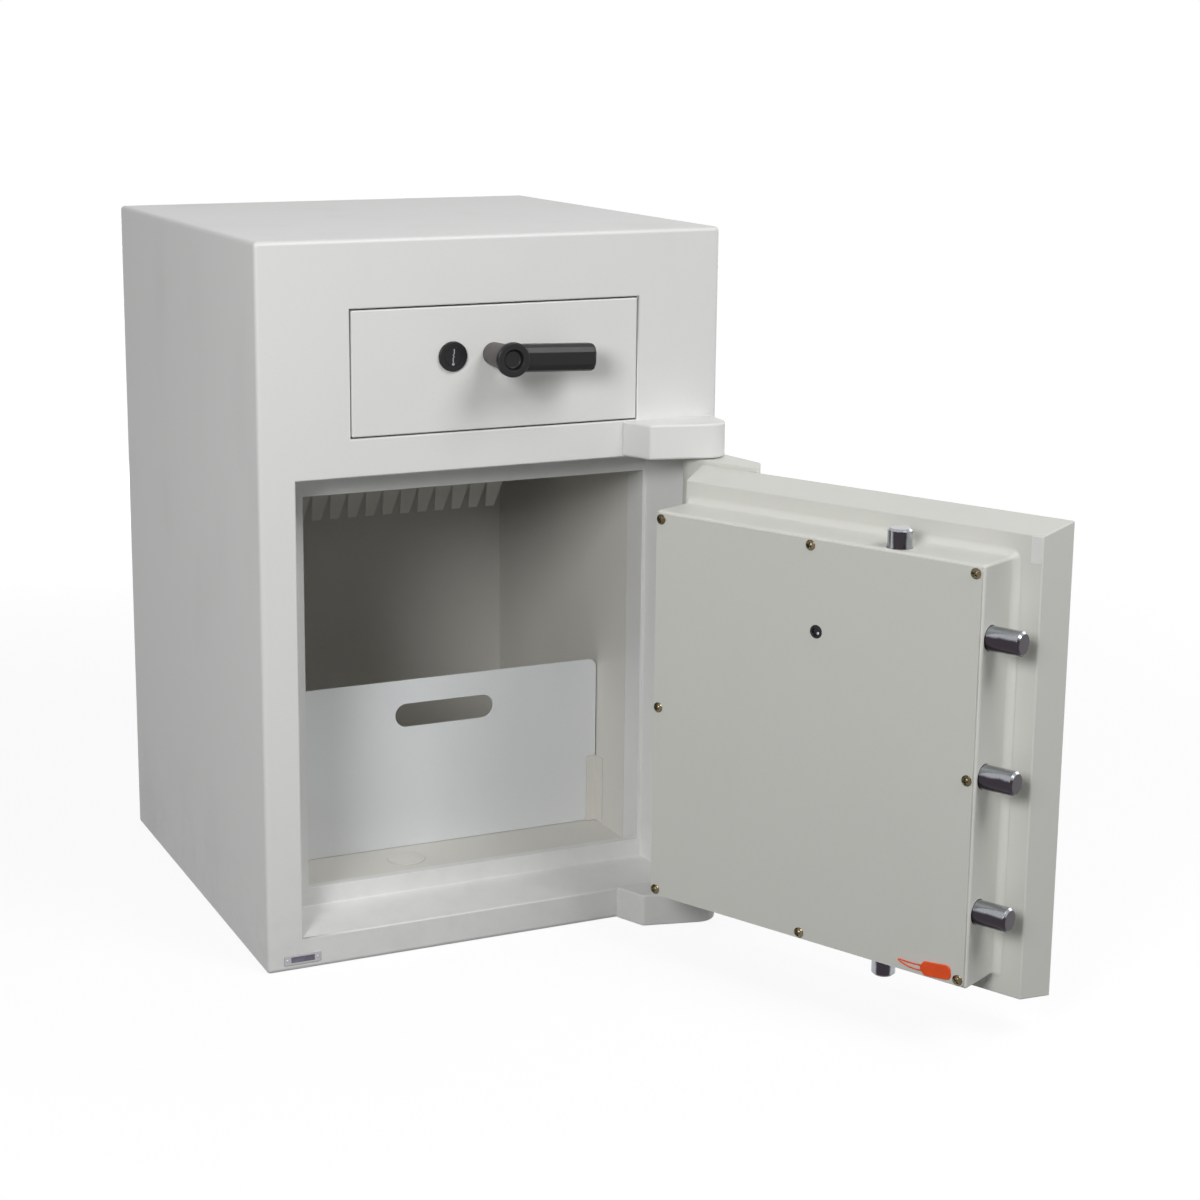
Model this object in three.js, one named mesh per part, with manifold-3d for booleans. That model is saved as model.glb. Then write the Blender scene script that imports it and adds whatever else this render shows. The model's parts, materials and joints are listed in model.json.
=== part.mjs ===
// Drop safe with a deposit drawer, shown with its door swung open and its bolts thrown.
// Millimetres, +Z up. The origin is the centre of the underside; the front faces -Y.
// Door pieces are drawn where they lie with the door shut, then turned about the hinge line.

import * as THREE from 'three';
import { RoundedBoxGeometry } from 'three/addons/geometries/RoundedBoxGeometry.js';
import { mergeVertices } from 'three/addons/utils/BufferGeometryUtils.js';
import Module from 'manifold-3d';

const wasm = await Module();
wasm.setup();

// Driving dimensions. Places across are taken from the left side, depths from the front and
// heights from the underside, unless the comment above them says otherwise.

const body = { width: 475, depth: 480, height: 700, edgeRadius: 4, wall: 5 };
const seat = 0.3;
const overrun = 2;

// The doorway is splayed inwards to a ring that the bolts grip from behind.
const doorway = {
  left: 36, hinge: 35, bottom: 31.5, top: 221.5,
  splayDepth: 58, splayLeft: 8.5, splayHinge: 13, splayEnds: 8.5,
};
const ring = { left: 17.5, hinge: 3, ends: 18.5, thickness: 10 };
const frame = { wall: 6, pocketRoom: 4.5, pocketReach: 29.5, pocketEnds: 12, backWall: 2.5 };

// The lined compartment behind the frame. Its sides, floor and ceiling are taken from the
// doorway's edges, and backGap from the safe's back.
const chamber = { left: 17, right: 13, floor: 14, ceiling: 15, backGap: 50, wall: 3 };
const anchor = {
  across: 193, deep: 131, radius: 8, capRadius: 20, capHeight: 2.5, capCrown: 1, stemRadius: 9,
  stemLength: 2.6,
};

// Retaining plate that stands in the compartment and lifts out, and its side guides. The hand
// slot is placed from the compartment's middle and below the plate's upper edge.
const plate = { deep: 165, thickness: 2, height: 181, cornerRadius: 9, sideGap: 1.2 };
const handSlot = { offset: 10, drop: 38, width: 110, height: 25 };
const guide = { height: 73, flange: 12, thickness: 2, web: 14 };

// Toothed baffle that hangs in front of the drop slot, between the compartment's sides.
const comb = {
  leftGap: 18, rightGap: 53, slotGap: 50.3, foot: 18, thickness: 2,
  drop: 92, lean: THREE.MathUtils.degToRad(26), teeth: 15, toothLength: 34,
};
const combToothShares = { root: 0.94, tip: 0.5 };

// Deposit drawer, its sleeve and the chute behind it. The drawer's right and top edges are taken
// from the body's, and the heights in it from its lower edge. The lock and the lever are placed
// from its middle, and what is behind its front from the front's inner face.
const drawer = { left: 92, right: 89.5, top: 66, height: 118, thickness: 20, gap: 1.5 };
const sleeve = { wall: 2 };
const chute = { depth: 102, backGap: 27.7 };
const tray = {
  sideGap: 10, wall: 2, backGap: 15, frontWall: 16, bottom: 8, rim: 86, floorFront: 36, floorBack: 12,
  flange: 8,
};
const runner = { width: 10.4, height: 9.7, start: 4, endGap: 4 };
const keeper = { halfWidth: 12.5, rise: 96, gap: 1.5, thickness: 3.5 };
const keyLock = {
  leftOfMiddle: 46.35, rise: 71, capRadius: 14.25, capProud: 3, barrelRadius: 8.7, barrelReach: 11,
  slotWidth: 1.6, slotHeight: 15, slotDepth: 4, camLength: 25, camHalfWidth: 6, camThickness: 3,
};
const drawerLever = {
  leftOfMiddle: 4.75, rise: 71.5, neckRadius: 12.5, headRadius: 17, neckLength: 25, headLength: 24,
  faceGap: 0.8, dishRadius: 9.5, dishDepth: 4, paddleLength: 87, paddleHeight: 26, paddleDepth: 17,
  paddleBulge: 3, roseRadius: 15, roseThickness: 2.5, spindleRadius: 5,
};
const latch = { keeperGap: 1, thickness: 4, reach: 31, halfWidth: 6, hubRadius: 10 };

// Hinge blocks, pins and the column that the door carries between them. Places across are taken
// from the right side. The blocks' ends near the door are taken from the doorway's.
const hinge = {
  inset: 24, proud: 21, blockStart: 104, shoulderInset: 89.5, blockShoulder: 33, columnShoulder: 24,
  bossInset: 28, bossProud: 26, bossRadius: 21, columnRadius: 20.5,
  lowerBottom: 1, lowerRise: 2, upperRise: 1, upperHeight: 34.5,
  pinRadius: 7, pinEntry: 36, pinGap: 0.3, washerThickness: 2.4, washerRadius: 15, topGap: 1,
};
const doorAngle = THREE.MathUtils.degToRad(115.5);

// Door slab and its filling.
const slab = {
  sideGap: 3, endGap: 4.5, inset: 1, thickness: 43, taperFree: 6.5, taperHinge: 12.5, taperEnds: 8,
  skin: 11, pocketMargin: 12,
};

// Bolt box on the door's inner face, inside that face's edges.
const box = {
  freeMargin: 26.5, hingeMargin: 3.5, bottomMargin: 18.5, topMargin: 21, boltRoom: 1.3, wall: 3,
  cornerRadius: 4, lip: 17, lipThickness: 2,
};
const cover = { inset: 2, thickness: 2, holeGap: 0.3 };
const screw = { inset: 7.5, headRadius: 4.9, headHeight: 3.2, shankRadius: 2, shankGap: 0.3 };
const changeBush = { radius: 6.2, bore: 3.4, proud: 0.8 };

// Boltwork. The bolts reach past the ring's lips, their inner ends are taken from the bolt box's
// walls, and the end bolts stand to the left of the door's middle.
const bolt = { radius: 11, gap: 0.4, gripGap: 1, chamfer: 1.6, ringSides: 28 };
const sideBolts = { reach: 22, travel: 31, endRoom: 68.5, inner: 31.7 };
const endBolts = { leftOfMiddle: 73, reach: 11, travel: 18, inner: 40.7 };
const bar = {
  thickness: 6, overhang: 18, sheet: 4, layerGap: 2, halfWidth: 13, margin: 5, shelfRise: 6,
};
const cam = {
  rise: 6, thickness: 4.7, pinRadius: 3, slotGap: 1.2, rim: 7, pinLength: 0.8,
  sideAngle: THREE.MathUtils.degToRad(135),
  topAngle: THREE.MathUtils.degToRad(45),
  bottomAngle: THREE.MathUtils.degToRad(225),
};
const detour = { rise: 41, height: 14, legWidth: 12, legGap: 24 };

// Lock, dial and handle on the door. The lock case stands between the upper bar and the bolt
// box's top. The dial and the change hole stand at shares of its height.
const hardPlate = { halfWidth: 40, below: 33, headroom: 18, thickness: 4 };
const lockCase = { halfWidth: 32, barGap: 20, headroom: 25, depth: 29.4, edge: 6 };
const dialShare = 0.6111111;
const changeShare = 0.3222222;
const dial = {
  ringRadius: 46, ringThickness: 3, radius: 35, thickness: 8, knobRadius: 19, knobLength: 22,
  knobFlutes: 24, fluteDepth: 1, spindleRadius: 4, holeGap: 1,
};
const doorHandle = {
  neckRadius: 14, headRadius: 18, neckLength: 24, headLength: 26, faceGap: 0.8, dishRadius: 10,
  dishDepth: 4, paddleLength: 118, paddleHeight: 28, paddleDepth: 18, paddleBulge: 3,
  roseRadius: 27, roseThickness: 5, spindleRadius: 6, holeGap: 1,
};

// Small plates, and the seal, which is placed from the bolt box's lower corner.
const ratingPlate = { left: 17, bottom: 6, width: 37, height: 11, thickness: 0.8 };
const seal = {
  inset: 14, rise: 4, width: 31, height: 14, thickness: 2, tilt: THREE.MathUtils.degToRad(-6),
  wireRadius: 0.7, wireReach: 23, wireSpread: 3, wireRise: 4,
};

// Roundness of turned pieces, as numbers of sides.
const roundSides = 32;
const smallSides = 12;
const curveSteps = 6;
const edgeSteps = 2;
const weldTolerance = 1e-4;

// Reference planes.
const left = -body.width / 2;
const right = body.width / 2;
const front = -body.depth / 2;
const back = body.depth / 2;
const across = (distance) => left + distance;
const deep = (distance) => front + distance;

// Solids from three.js geometry.

function solid(geometry) {
  const bare = new THREE.BufferGeometry();
  bare.setAttribute('position', geometry.getAttribute('position'));
  bare.setIndex(geometry.getIndex());
  const welded = mergeVertices(bare, weldTolerance);
  const index = welded.getIndex().array;
  const kept = [];
  for (let i = 0; i < index.length; i += 3) {
    const [a, b, c] = [index[i], index[i + 1], index[i + 2]];
    if (a !== b && b !== c && c !== a) kept.push(a, b, c);
  }
  return new wasm.Manifold(new wasm.Mesh({
    numProp: 3,
    vertProperties: new Float32Array(welded.getAttribute('position').array),
    triVerts: new Uint32Array(kept),
  }));
}

function geometryOf(manifold) {
  const mesh = manifold.getMesh();
  const geometry = new THREE.BufferGeometry();
  geometry.setAttribute('position', new THREE.BufferAttribute(mesh.vertProperties, mesh.numProp));
  geometry.setIndex(new THREE.BufferAttribute(mesh.triVerts, 1));
  geometry.computeVertexNormals();
  return geometry;
}

function boxGeometry([x0, x1], [y0, y1], [z0, z1]) {
  const geometry = new THREE.BoxGeometry(x1 - x0, y1 - y0, z1 - z0);
  return geometry.translate((x0 + x1) / 2, (y0 + y1) / 2, (z0 + z1) / 2);
}

function block(xSpan, ySpan, zSpan) {
  return solid(boxGeometry(xSpan, ySpan, zSpan));
}

// A block whose rectangle changes from the front to the back.
function taperedBlock(frontRect, backRect, [y0, y1]) {
  const geometry = new THREE.BoxGeometry(1, 1, 1);
  const position = geometry.getAttribute('position');
  for (let i = 0; i < position.count; i += 1) {
    const atBack = position.getY(i) > 0;
    const rect = atBack ? backRect : frontRect;
    const x = position.getX(i) > 0 ? rect.x[1] : rect.x[0];
    const z = position.getZ(i) > 0 ? rect.z[1] : rect.z[0];
    position.setXYZ(i, x, atBack ? y1 : y0, z);
  }
  return solid(geometry);
}

// Turns a shape made along Y so that it lies along the named axis.
function alongAxis(geometry, axis) {
  if (axis === 'x') geometry.rotateZ(-Math.PI / 2);
  if (axis === 'z') geometry.rotateX(Math.PI / 2);
  return geometry;
}

// A turned piece: profile points are [radius, distance along the axis], from end to end.
function turned(profile, axis, at, sides = roundSides) {
  const points = profile.map(([radius, along]) => new THREE.Vector2(radius, along));
  const geometry = alongAxis(new THREE.LatheGeometry(points, sides), axis);
  return solid(geometry.translate(...at));
}

// A plain rod between two places on its axis; the other two coordinates are in at.
function rod(radius, axis, [from, to], at, sides = roundSides) {
  return turned([[0, from], [radius, from], [radius, to], [0, to]], axis, at, sides);
}

function outlineShape(points) {
  return new THREE.Shape(points.map(([a, b]) => new THREE.Vector2(a, b)));
}

// Extrudes a flat outline: (x, y) along z, (x, z) along y or (y, z) along x.
function extrudedGeometry(shape, axis, [from, to]) {
  const geometry = new THREE.ExtrudeGeometry(shape, {
    depth: to - from, bevelEnabled: false, curveSegments: curveSteps,
  });
  if (axis === 'z') geometry.translate(0, 0, from);
  if (axis === 'y') geometry.rotateX(Math.PI / 2).translate(0, to, 0);
  if (axis === 'x') {
    const turn = new THREE.Matrix4().set(0, 0, 1, 0, 1, 0, 0, 0, 0, 1, 0, 0, 0, 0, 0, 1);
    geometry.applyMatrix4(turn).translate(from, 0, 0);
  }
  return geometry;
}

function extruded(shape, axis, span) {
  return solid(extrudedGeometry(shape, axis, span));
}

// A rectangle with round corners, given by its low and high edges.
function roundedRect([a0, a1], [b0, b1], radius) {
  const shape = new THREE.Shape();
  shape.moveTo(a0 + radius, b0);
  shape.lineTo(a1 - radius, b0);
  shape.absarc(a1 - radius, b0 + radius, radius, -Math.PI / 2, 0, false);
  shape.lineTo(a1, b1 - radius);
  shape.absarc(a1 - radius, b1 - radius, radius, 0, Math.PI / 2, false);
  shape.lineTo(a0 + radius, b1);
  shape.absarc(a0 + radius, b1 - radius, radius, Math.PI / 2, Math.PI, false);
  shape.lineTo(a0, b0 + radius);
  shape.absarc(a0 + radius, b0 + radius, radius, Math.PI, Math.PI * 1.5, false);
  return shape;
}

// A slot with round ends, level, about its middle.
function slotShape([a, b], length, height) {
  const reach = (length - height) / 2;
  const shape = new THREE.Shape();
  shape.absarc(a + reach, b, height / 2, -Math.PI / 2, Math.PI / 2, false);
  shape.absarc(a - reach, b, height / 2, Math.PI / 2, Math.PI * 1.5, false);
  return shape;
}

const grown = ([low, high], by) => [low - by, high + by];
const middleOf = ([low, high]) => (low + high) / 2;

// Finishes.

function finish(color, roughness, metalness) {
  return new THREE.MeshStandardMaterial({ color, roughness, metalness });
}

const paint = finish(0xdadada, 0.55, 0);
const liningPaint = finish(0xb9b6b2, 0.6, 0);
const platePaint = finish(0xcdd1d4, 0.5, 0.1);
const concrete = finish(0x9a968e, 0.95, 0);
const steel = finish(0x8d9094, 0.4, 0.9);
const chrome = finish(0xc8ccd0, 0.12, 1);
const brass = finish(0xa08452, 0.35, 0.9);
const blackPlastic = finish(0x1c1c1f, 0.45, 0);
const sealPlastic = finish(0xe8501e, 0.4, 0);

const safe = new THREE.Group();

function place(name, manifold, material, parent = safe) {
  const mesh = new THREE.Mesh(geometryOf(manifold), material);
  mesh.name = name;
  parent.add(mesh);
}

// Spans shared by several pieces.

const doorwayFront = {
  x: [across(doorway.left), right - doorway.hinge],
  z: [doorway.bottom, body.height - doorway.top],
};
const doorwayBack = {
  x: [doorwayFront.x[0] + doorway.splayLeft, doorwayFront.x[1] - doorway.splayHinge],
  z: grown(doorwayFront.z, -doorway.splayEnds),
};
const ringClear = {
  x: [doorwayBack.x[0] + ring.left, doorwayBack.x[1] - ring.hinge],
  z: grown(doorwayBack.z, -ring.ends),
};
const ringBack = doorway.splayDepth + ring.thickness;
const boltDeep = ringBack + bolt.gripGap + bolt.radius;
const pocketBack = boltDeep + bolt.radius + frame.pocketRoom;
const pocketStart = ringClear.x[0] - frame.pocketReach;
const frameBack = pocketBack + frame.backWall;
const frameOuter = {
  x: [pocketStart - chamber.wall, doorwayFront.x[1] + frame.wall],
  z: grown(doorwayFront.z, frame.wall),
};
const chamberInner = {
  x: [doorwayFront.x[0] + chamber.left, doorwayFront.x[1] - chamber.right],
  z: [doorwayFront.z[0] + chamber.floor, doorwayFront.z[1] - chamber.ceiling],
};
const chamberFront = frameBack + seat;
const chamberBack = body.depth - chamber.backGap;
const drawerX = [across(drawer.left), right - drawer.right];
const drawerTop = body.height - drawer.top;
const drawerZ = [drawerTop - drawer.height, drawerTop];
const sleeveInner = { x: grown(drawerX, drawer.gap), z: grown(drawerZ, drawer.gap) };
const sleeveFront = body.wall + seat;
const chuteEnd = chamberBack - chute.backGap;
const chuteSpan = [chuteEnd - chute.depth, chuteEnd];
const sleeveBack = chuteSpan[0] - seat;
const chuteFloor = chamberInner.z[1] + chamber.wall + seat;

function doorwaySplay(reach) {
  const share = reach / doorway.splayDepth;
  const slide = (from, to) => from.map((value, i) => value - (to[i] - value) * share);
  const mouth = { x: slide(doorwayFront.x, doorwayBack.x), z: slide(doorwayFront.z, doorwayBack.z) };
  return taperedBlock(mouth, doorwayBack, [deep(-reach), deep(doorway.splayDepth)]);
}

function anchorBore(radius) {
  return rod(
    radius, 'z', [-overrun, chamberInner.z[0] + overrun], [across(anchor.across), deep(anchor.deep), 0],
  );
}

// Casing, filling and linings of the body.

function outerCasing() {
  const shell = new RoundedBoxGeometry(body.width, body.depth, body.height, edgeSteps, body.edgeRadius);
  const hollow = block(
    [left + body.wall, right - body.wall],
    [front + body.wall, back - body.wall],
    [body.wall, body.height - body.wall],
  );
  const drawerMouth = block(sleeveInner.x, [deep(-overrun), deep(body.wall + overrun)], sleeveInner.z);
  return solid(shell.translate(0, 0, body.height / 2))
    .subtract(hollow)
    .subtract(doorwaySplay(overrun))
    .subtract(drawerMouth)
    .subtract(anchorBore(anchor.radius));
}

function barrierFill() {
  const inside = body.wall + seat;
  const frameRoom = block(
    grown(frameOuter.x, seat), [front, deep(frameBack + seat)], grown(frameOuter.z, seat),
  );
  const liningRoom = block(
    grown(chamberInner.x, chamber.wall + seat),
    [front, deep(chamberBack + chamber.wall + seat)],
    grown(chamberInner.z, chamber.wall + seat),
  );
  const sleeveRoom = block(
    grown(sleeveInner.x, sleeve.wall + seat),
    [front, deep(chuteSpan[1] + seat)],
    grown(sleeveInner.z, sleeve.wall + seat),
  );
  const dropRoom = block(
    grown(sleeveInner.x, sleeve.wall + seat),
    [deep(chuteSpan[0] - seat), deep(chuteSpan[1] + seat)],
    [chamberInner.z[1], drawerZ[0]],
  );
  return block(
    [left + inside, right - inside], [front + inside, back - inside], [inside, body.height - inside],
  )
    .subtract(frameRoom)
    .subtract(liningRoom)
    .subtract(sleeveRoom)
    .subtract(dropRoom)
    .subtract(anchorBore(anchor.radius));
}

function doorFrame() {
  const tube = block(frameOuter.x, [deep(body.wall + seat), deep(frameBack)], frameOuter.z);
  const clear = block(
    ringClear.x, [deep(doorway.splayDepth - overrun), deep(ringBack + overrun)], ringClear.z,
  );
  const pocket = block(
    [pocketStart, chamberInner.x[1]],
    [deep(ringBack), deep(pocketBack)],
    [ringClear.z[0] - frame.pocketEnds, ringClear.z[1] + frame.pocketEnds],
  );
  const mouth = block(chamberInner.x, [deep(ringBack), deep(frameBack + overrun)], chamberInner.z);
  return tube.subtract(doorwaySplay(overrun)).subtract(clear).subtract(pocket).subtract(mouth);
}

function innerLiner() {
  const shell = block(
    grown(chamberInner.x, chamber.wall),
    [deep(chamberFront), deep(chamberBack + chamber.wall)],
    grown(chamberInner.z, chamber.wall),
  );
  const room = block(
    chamberInner.x, [deep(chamberFront - overrun), deep(chamberBack)], chamberInner.z,
  );
  const dropSlot = block(
    sleeveInner.x,
    [deep(chuteSpan[0] + sleeve.wall), deep(chuteSpan[1] - sleeve.wall)],
    [chamberInner.z[1] - overrun, chuteFloor + overrun],
  );
  return shell.subtract(room).subtract(dropSlot).subtract(anchorBore(anchor.stemRadius + seat));
}

function anchorCap() {
  const stemFoot = -anchor.stemLength;
  const profile = [
    [0, stemFoot],
    [anchor.stemRadius, stemFoot],
    [anchor.stemRadius, seat],
    [anchor.capRadius, seat],
    [anchor.capRadius, anchor.capHeight - anchor.capCrown],
    [anchor.capRadius - anchor.capCrown * 2, anchor.capHeight],
    [0, anchor.capHeight],
  ];
  return turned(profile, 'z', [across(anchor.across), deep(anchor.deep), chamberInner.z[0]]);
}

// Retaining plate and its guides.

const plateSpan = [deep(plate.deep), deep(plate.deep + plate.thickness)];
const plateX = grown(chamberInner.x, -plate.sideGap);

function retainingPlate() {
  const foot = chamberInner.z[0] + seat;
  const sheet = extruded(
    roundedRect(plateX, [foot - plate.cornerRadius, foot + plate.height], plate.cornerRadius),
    'y', plateSpan,
  );
  const trim = block(grown(plateX, overrun), grown(plateSpan, overrun), [foot - plate.height, foot]);
  const gripAt = [middleOf(chamberInner.x) + handSlot.offset, foot + plate.height - handSlot.drop];
  const grip = slotShape(gripAt, handSlot.width, handSlot.height);
  return sheet.subtract(trim).subtract(extruded(grip, 'y', grown(plateSpan, overrun)));
}

// An angle on the side wall with a flange in front of the plate and one behind it.
function plateGuide(side) {
  const wallFace = side < 0 ? chamberInner.x[0] : chamberInner.x[1];
  const inward = -side;
  const spanX = (from, to) => [wallFace + inward * from, wallFace + inward * to].sort((a, b) => a - b);
  const foot = chamberInner.z[0] + seat;
  const heights = [foot, foot + guide.height];
  const near = plateSpan[0] - seat - guide.thickness;
  const far = plateSpan[1] + seat + guide.thickness;
  const web = block(spanX(seat, plate.sideGap - seat), [near - guide.web, far], heights);
  const flange = (from) => block(spanX(seat, guide.flange), [from, from + guide.thickness], heights);
  return web.add(flange(near)).add(flange(plateSpan[1] + seat));
}

// Toothed baffle in front of the drop slot.

function antiFishComb() {
  const spanX = [chamberInner.x[0] + comb.leftGap, chamberInner.x[1] - comb.rightGap];
  const top = chamberInner.z[1] - seat;
  const nearEdge = chuteSpan[0] - comb.slotGap;
  const width = spanX[1] - spanX[0];
  const pitch = width / comb.teeth;
  const root = pitch * combToothShares.root / 2;
  const tip = pitch * combToothShares.tip / 2;
  const slope = comb.drop / Math.cos(comb.lean);
  const points = [[0, 0]];
  for (let i = 0; i < comb.teeth; i += 1) {
    const middle = pitch * (i + 0.5);
    points.push([middle - root, comb.toothLength - slope]);
    points.push([middle - tip, -slope]);
    points.push([middle + tip, -slope]);
    points.push([middle + root, comb.toothLength - slope]);
  }
  points.push([width, 0]);
  const bend = [spanX[0], deep(nearEdge + comb.foot), top];
  const leaning = extrudedGeometry(outlineShape(points), 'y', [0, comb.thickness])
    .rotateX(comb.lean)
    .translate(...bend);
  const foot = block(
    spanX, [deep(nearEdge), bend[1] + comb.thickness], [top - comb.thickness, top],
  );
  const ceilingTrim = block(
    grown(spanX, overrun), grown([bend[1], bend[1]], comb.foot), [top, top + comb.foot],
  );
  return solid(leaning).add(foot).subtract(ceilingTrim);
}

// Drawer sleeve, chute, runners and keeper.

const keeperDeep = drawer.thickness + keeper.gap;
const drawerMiddle = middleOf(drawerX);
const leverAt = [drawerMiddle - drawerLever.leftOfMiddle, 0, drawerZ[0] + drawerLever.rise];
const keyAt = [drawerMiddle - keyLock.leftOfMiddle, 0, drawerZ[0] + keyLock.rise];

// A square tube with the latch's keeper welded under its roof.
function drawerSleeve() {
  const span = [deep(sleeveFront), deep(sleeveBack)];
  const keeperHook = block(
    grown([leverAt[0], leverAt[0]], keeper.halfWidth),
    [deep(keeperDeep), deep(keeperDeep + keeper.thickness)],
    [drawerZ[0] + keeper.rise, sleeveInner.z[1] + sleeve.wall],
  );
  return block(grown(sleeveInner.x, sleeve.wall), span, grown(sleeveInner.z, sleeve.wall))
    .subtract(block(sleeveInner.x, grown(span, overrun), sleeveInner.z))
    .add(keeperHook);
}

function dropChute() {
  const [near, far] = chuteSpan.map(deep);
  const outer = block(
    grown(sleeveInner.x, sleeve.wall), [near, far], [chuteFloor, sleeveInner.z[1] + sleeve.wall],
  );
  const inner = block(
    sleeveInner.x, [near + sleeve.wall, far - sleeve.wall], [chuteFloor - overrun, sleeveInner.z[1]],
  );
  const entry = block(sleeveInner.x, [near - overrun, near + sleeve.wall + overrun], sleeveInner.z);
  return outer.subtract(inner).subtract(entry);
}

const trayX = grown(sleeveInner.x, -(tray.sideGap + drawer.gap));
const trayBottom = drawerZ[0] + tray.bottom;
const trayRim = drawerZ[0] + tray.rim;
const flangeBottom = trayRim - tray.wall;

function runnerRail(side) {
  const wallFace = side < 0 ? sleeveInner.x[0] + seat : sleeveInner.x[1] - seat;
  const span = [wallFace, wallFace - side * runner.width].sort((a, b) => a - b);
  const top = flangeBottom - seat;
  const along = [deep(drawer.thickness + runner.start), deep(sleeveBack - runner.endGap)];
  return block(span, along, [top - runner.height, top]);
}

// Drawer front, tray, lock and lever.

function drawerFront() {
  const through = [deep(-overrun), deep(drawer.thickness + overrun)];
  return block(drawerX, [front, deep(drawer.thickness)], drawerZ)
    .subtract(rod(drawerLever.spindleRadius + seat, 'y', through, leverAt))
    .subtract(rod(keyLock.barrelRadius + seat, 'y', through, keyAt));
}

function drawerTray() {
  const start = deep(drawer.thickness + seat);
  const end = deep(sleeveBack - tray.backGap);
  const inner = grown(trayX, -tray.wall);
  const wallFront = deep(drawer.thickness + tray.frontWall);
  const wallBack = wallFront + tray.wall;
  const shell = block(trayX, [start, end], [trayBottom, trayRim]);
  const flanges = block(grown(trayX, tray.flange), [start, end], [flangeBottom, trayRim]);
  const lead = block(inner, [start - overrun, wallFront], grown([trayBottom, trayRim], overrun));
  const floorFront = drawerZ[0] + tray.floorFront;
  const floorBack = drawerZ[0] + tray.floorBack;
  const dip = (floorFront - floorBack) / (end - wallBack);
  const hopper = outlineShape([
    [wallBack, floorFront + tray.wall],
    [end + overrun, floorBack + tray.wall - dip * overrun],
    [end + overrun, trayRim + overrun],
    [wallBack, trayRim + overrun],
  ]);
  const under = outlineShape([
    [wallBack, trayBottom - overrun],
    [end + overrun, trayBottom - overrun],
    [end + overrun, floorBack - dip * overrun],
    [wallBack, floorFront],
  ]);
  return shell.add(flanges)
    .subtract(lead)
    .subtract(extruded(hopper, 'x', inner))
    .subtract(extruded(under, 'x', inner));
}

function keyCap() {
  return rod(keyLock.capRadius, 'y', [deep(-keyLock.capProud), deep(-seat)], keyAt)
    .subtract(rod(
      keyLock.barrelRadius + seat, 'y', [deep(-keyLock.capProud - overrun), deep(overrun)], keyAt,
    ));
}

// The barrel with its keyhole, and the cam on its inner end.
function keyBarrel() {
  const face = -keyLock.capProud;
  const slot = block(
    [keyAt[0] - keyLock.slotWidth / 2, keyAt[0] + keyLock.slotWidth / 2],
    [deep(face - overrun), deep(face + keyLock.slotDepth)],
    [keyAt[2] - keyLock.slotHeight / 2, keyAt[2] + keyLock.slotHeight / 2],
  );
  const camFace = drawer.thickness + keyLock.barrelReach;
  const camArm = block(
    [keyAt[0] - keyLock.camHalfWidth, keyAt[0] + keyLock.camHalfWidth],
    [deep(camFace), deep(camFace + keyLock.camThickness)],
    [keyAt[2] - keyLock.camLength, keyAt[2] + keyLock.camHalfWidth],
  );
  return rod(
    keyLock.barrelRadius, 'y', [deep(face), deep(camFace + keyLock.camThickness)], keyAt,
  ).subtract(slot).add(camArm);
}

// A lever handle: a flared neck, a dished round head and a paddle that points to +X.
function leverHandle(spec, at, face) {
  const root = face - spec.faceGap;
  const waist = root - spec.neckLength;
  const tip = waist - spec.headLength;
  const hub = turned([
    [0, tip + spec.dishDepth],
    [spec.dishRadius - spec.faceGap, tip + spec.dishDepth],
    [spec.dishRadius, tip],
    [spec.headRadius - spec.faceGap, tip],
    [spec.headRadius, tip + spec.faceGap],
    [spec.headRadius, waist],
    [spec.neckRadius, root - spec.neckLength / 3],
    [spec.neckRadius, root],
    [0, root],
  ], 'y', at);
  const low = at[2] - spec.paddleHeight / 2;
  const high = at[2] + spec.paddleHeight / 2;
  const end = at[0] + spec.paddleLength;
  const outline = new THREE.Shape();
  outline.moveTo(at[0], low);
  outline.lineTo(end - spec.paddleBulge, low);
  outline.quadraticCurveTo(end + spec.paddleBulge, at[2], end - spec.paddleBulge, high);
  outline.lineTo(at[0], high);
  const paddleFront = tip + spec.dishDepth;
  const edge = spec.paddleBulge;
  const section = outlineShape([
    [paddleFront, low + edge],
    [paddleFront + edge, low],
    [paddleFront + spec.paddleDepth, low],
    [paddleFront + spec.paddleDepth, high],
    [paddleFront + edge, high],
    [paddleFront, high - edge],
  ]);
  const paddle = extruded(outline, 'y', [paddleFront, paddleFront + spec.paddleDepth])
    .intersect(extruded(section, 'x', [at[0], end + spec.paddleBulge]));
  const dish = rod(spec.dishRadius - spec.faceGap, 'y', [tip - overrun, tip + spec.dishDepth], at);
  const socket = rod(
    spec.spindleRadius + seat, 'y', [root - spec.neckLength / 2 - seat, root + overrun], at,
  );
  return hub.add(paddle).subtract(dish).subtract(socket);
}

function spindle(spec, at, face, end) {
  return rod(spec.spindleRadius, 'y', [face - spec.faceGap - spec.neckLength / 2, end], at);
}

function roseRing(spec, at, face) {
  return rod(spec.roseRadius, 'y', [face - seat - spec.roseThickness, face - seat], at)
    .subtract(rod(
      spec.neckRadius + spec.faceGap, 'y', [face - spec.roseThickness - overrun, face + overrun], at,
    ));
}

const latchDeep = keeperDeep + keeper.thickness + latch.keeperGap;
const latchSpan = [deep(latchDeep), deep(latchDeep + latch.thickness)];

function latchArm() {
  const arm = block(
    [leverAt[0] - latch.reach, leverAt[0]], latchSpan,
    [leverAt[2] - latch.halfWidth, leverAt[2] + latch.halfWidth],
  );
  return rod(latch.hubRadius, 'y', latchSpan, leverAt).add(arm)
    .subtract(rod(drawerLever.spindleRadius + seat, 'y', grown(latchSpan, overrun), leverAt));
}

// Hinge blocks, column, pins and washer.

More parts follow.
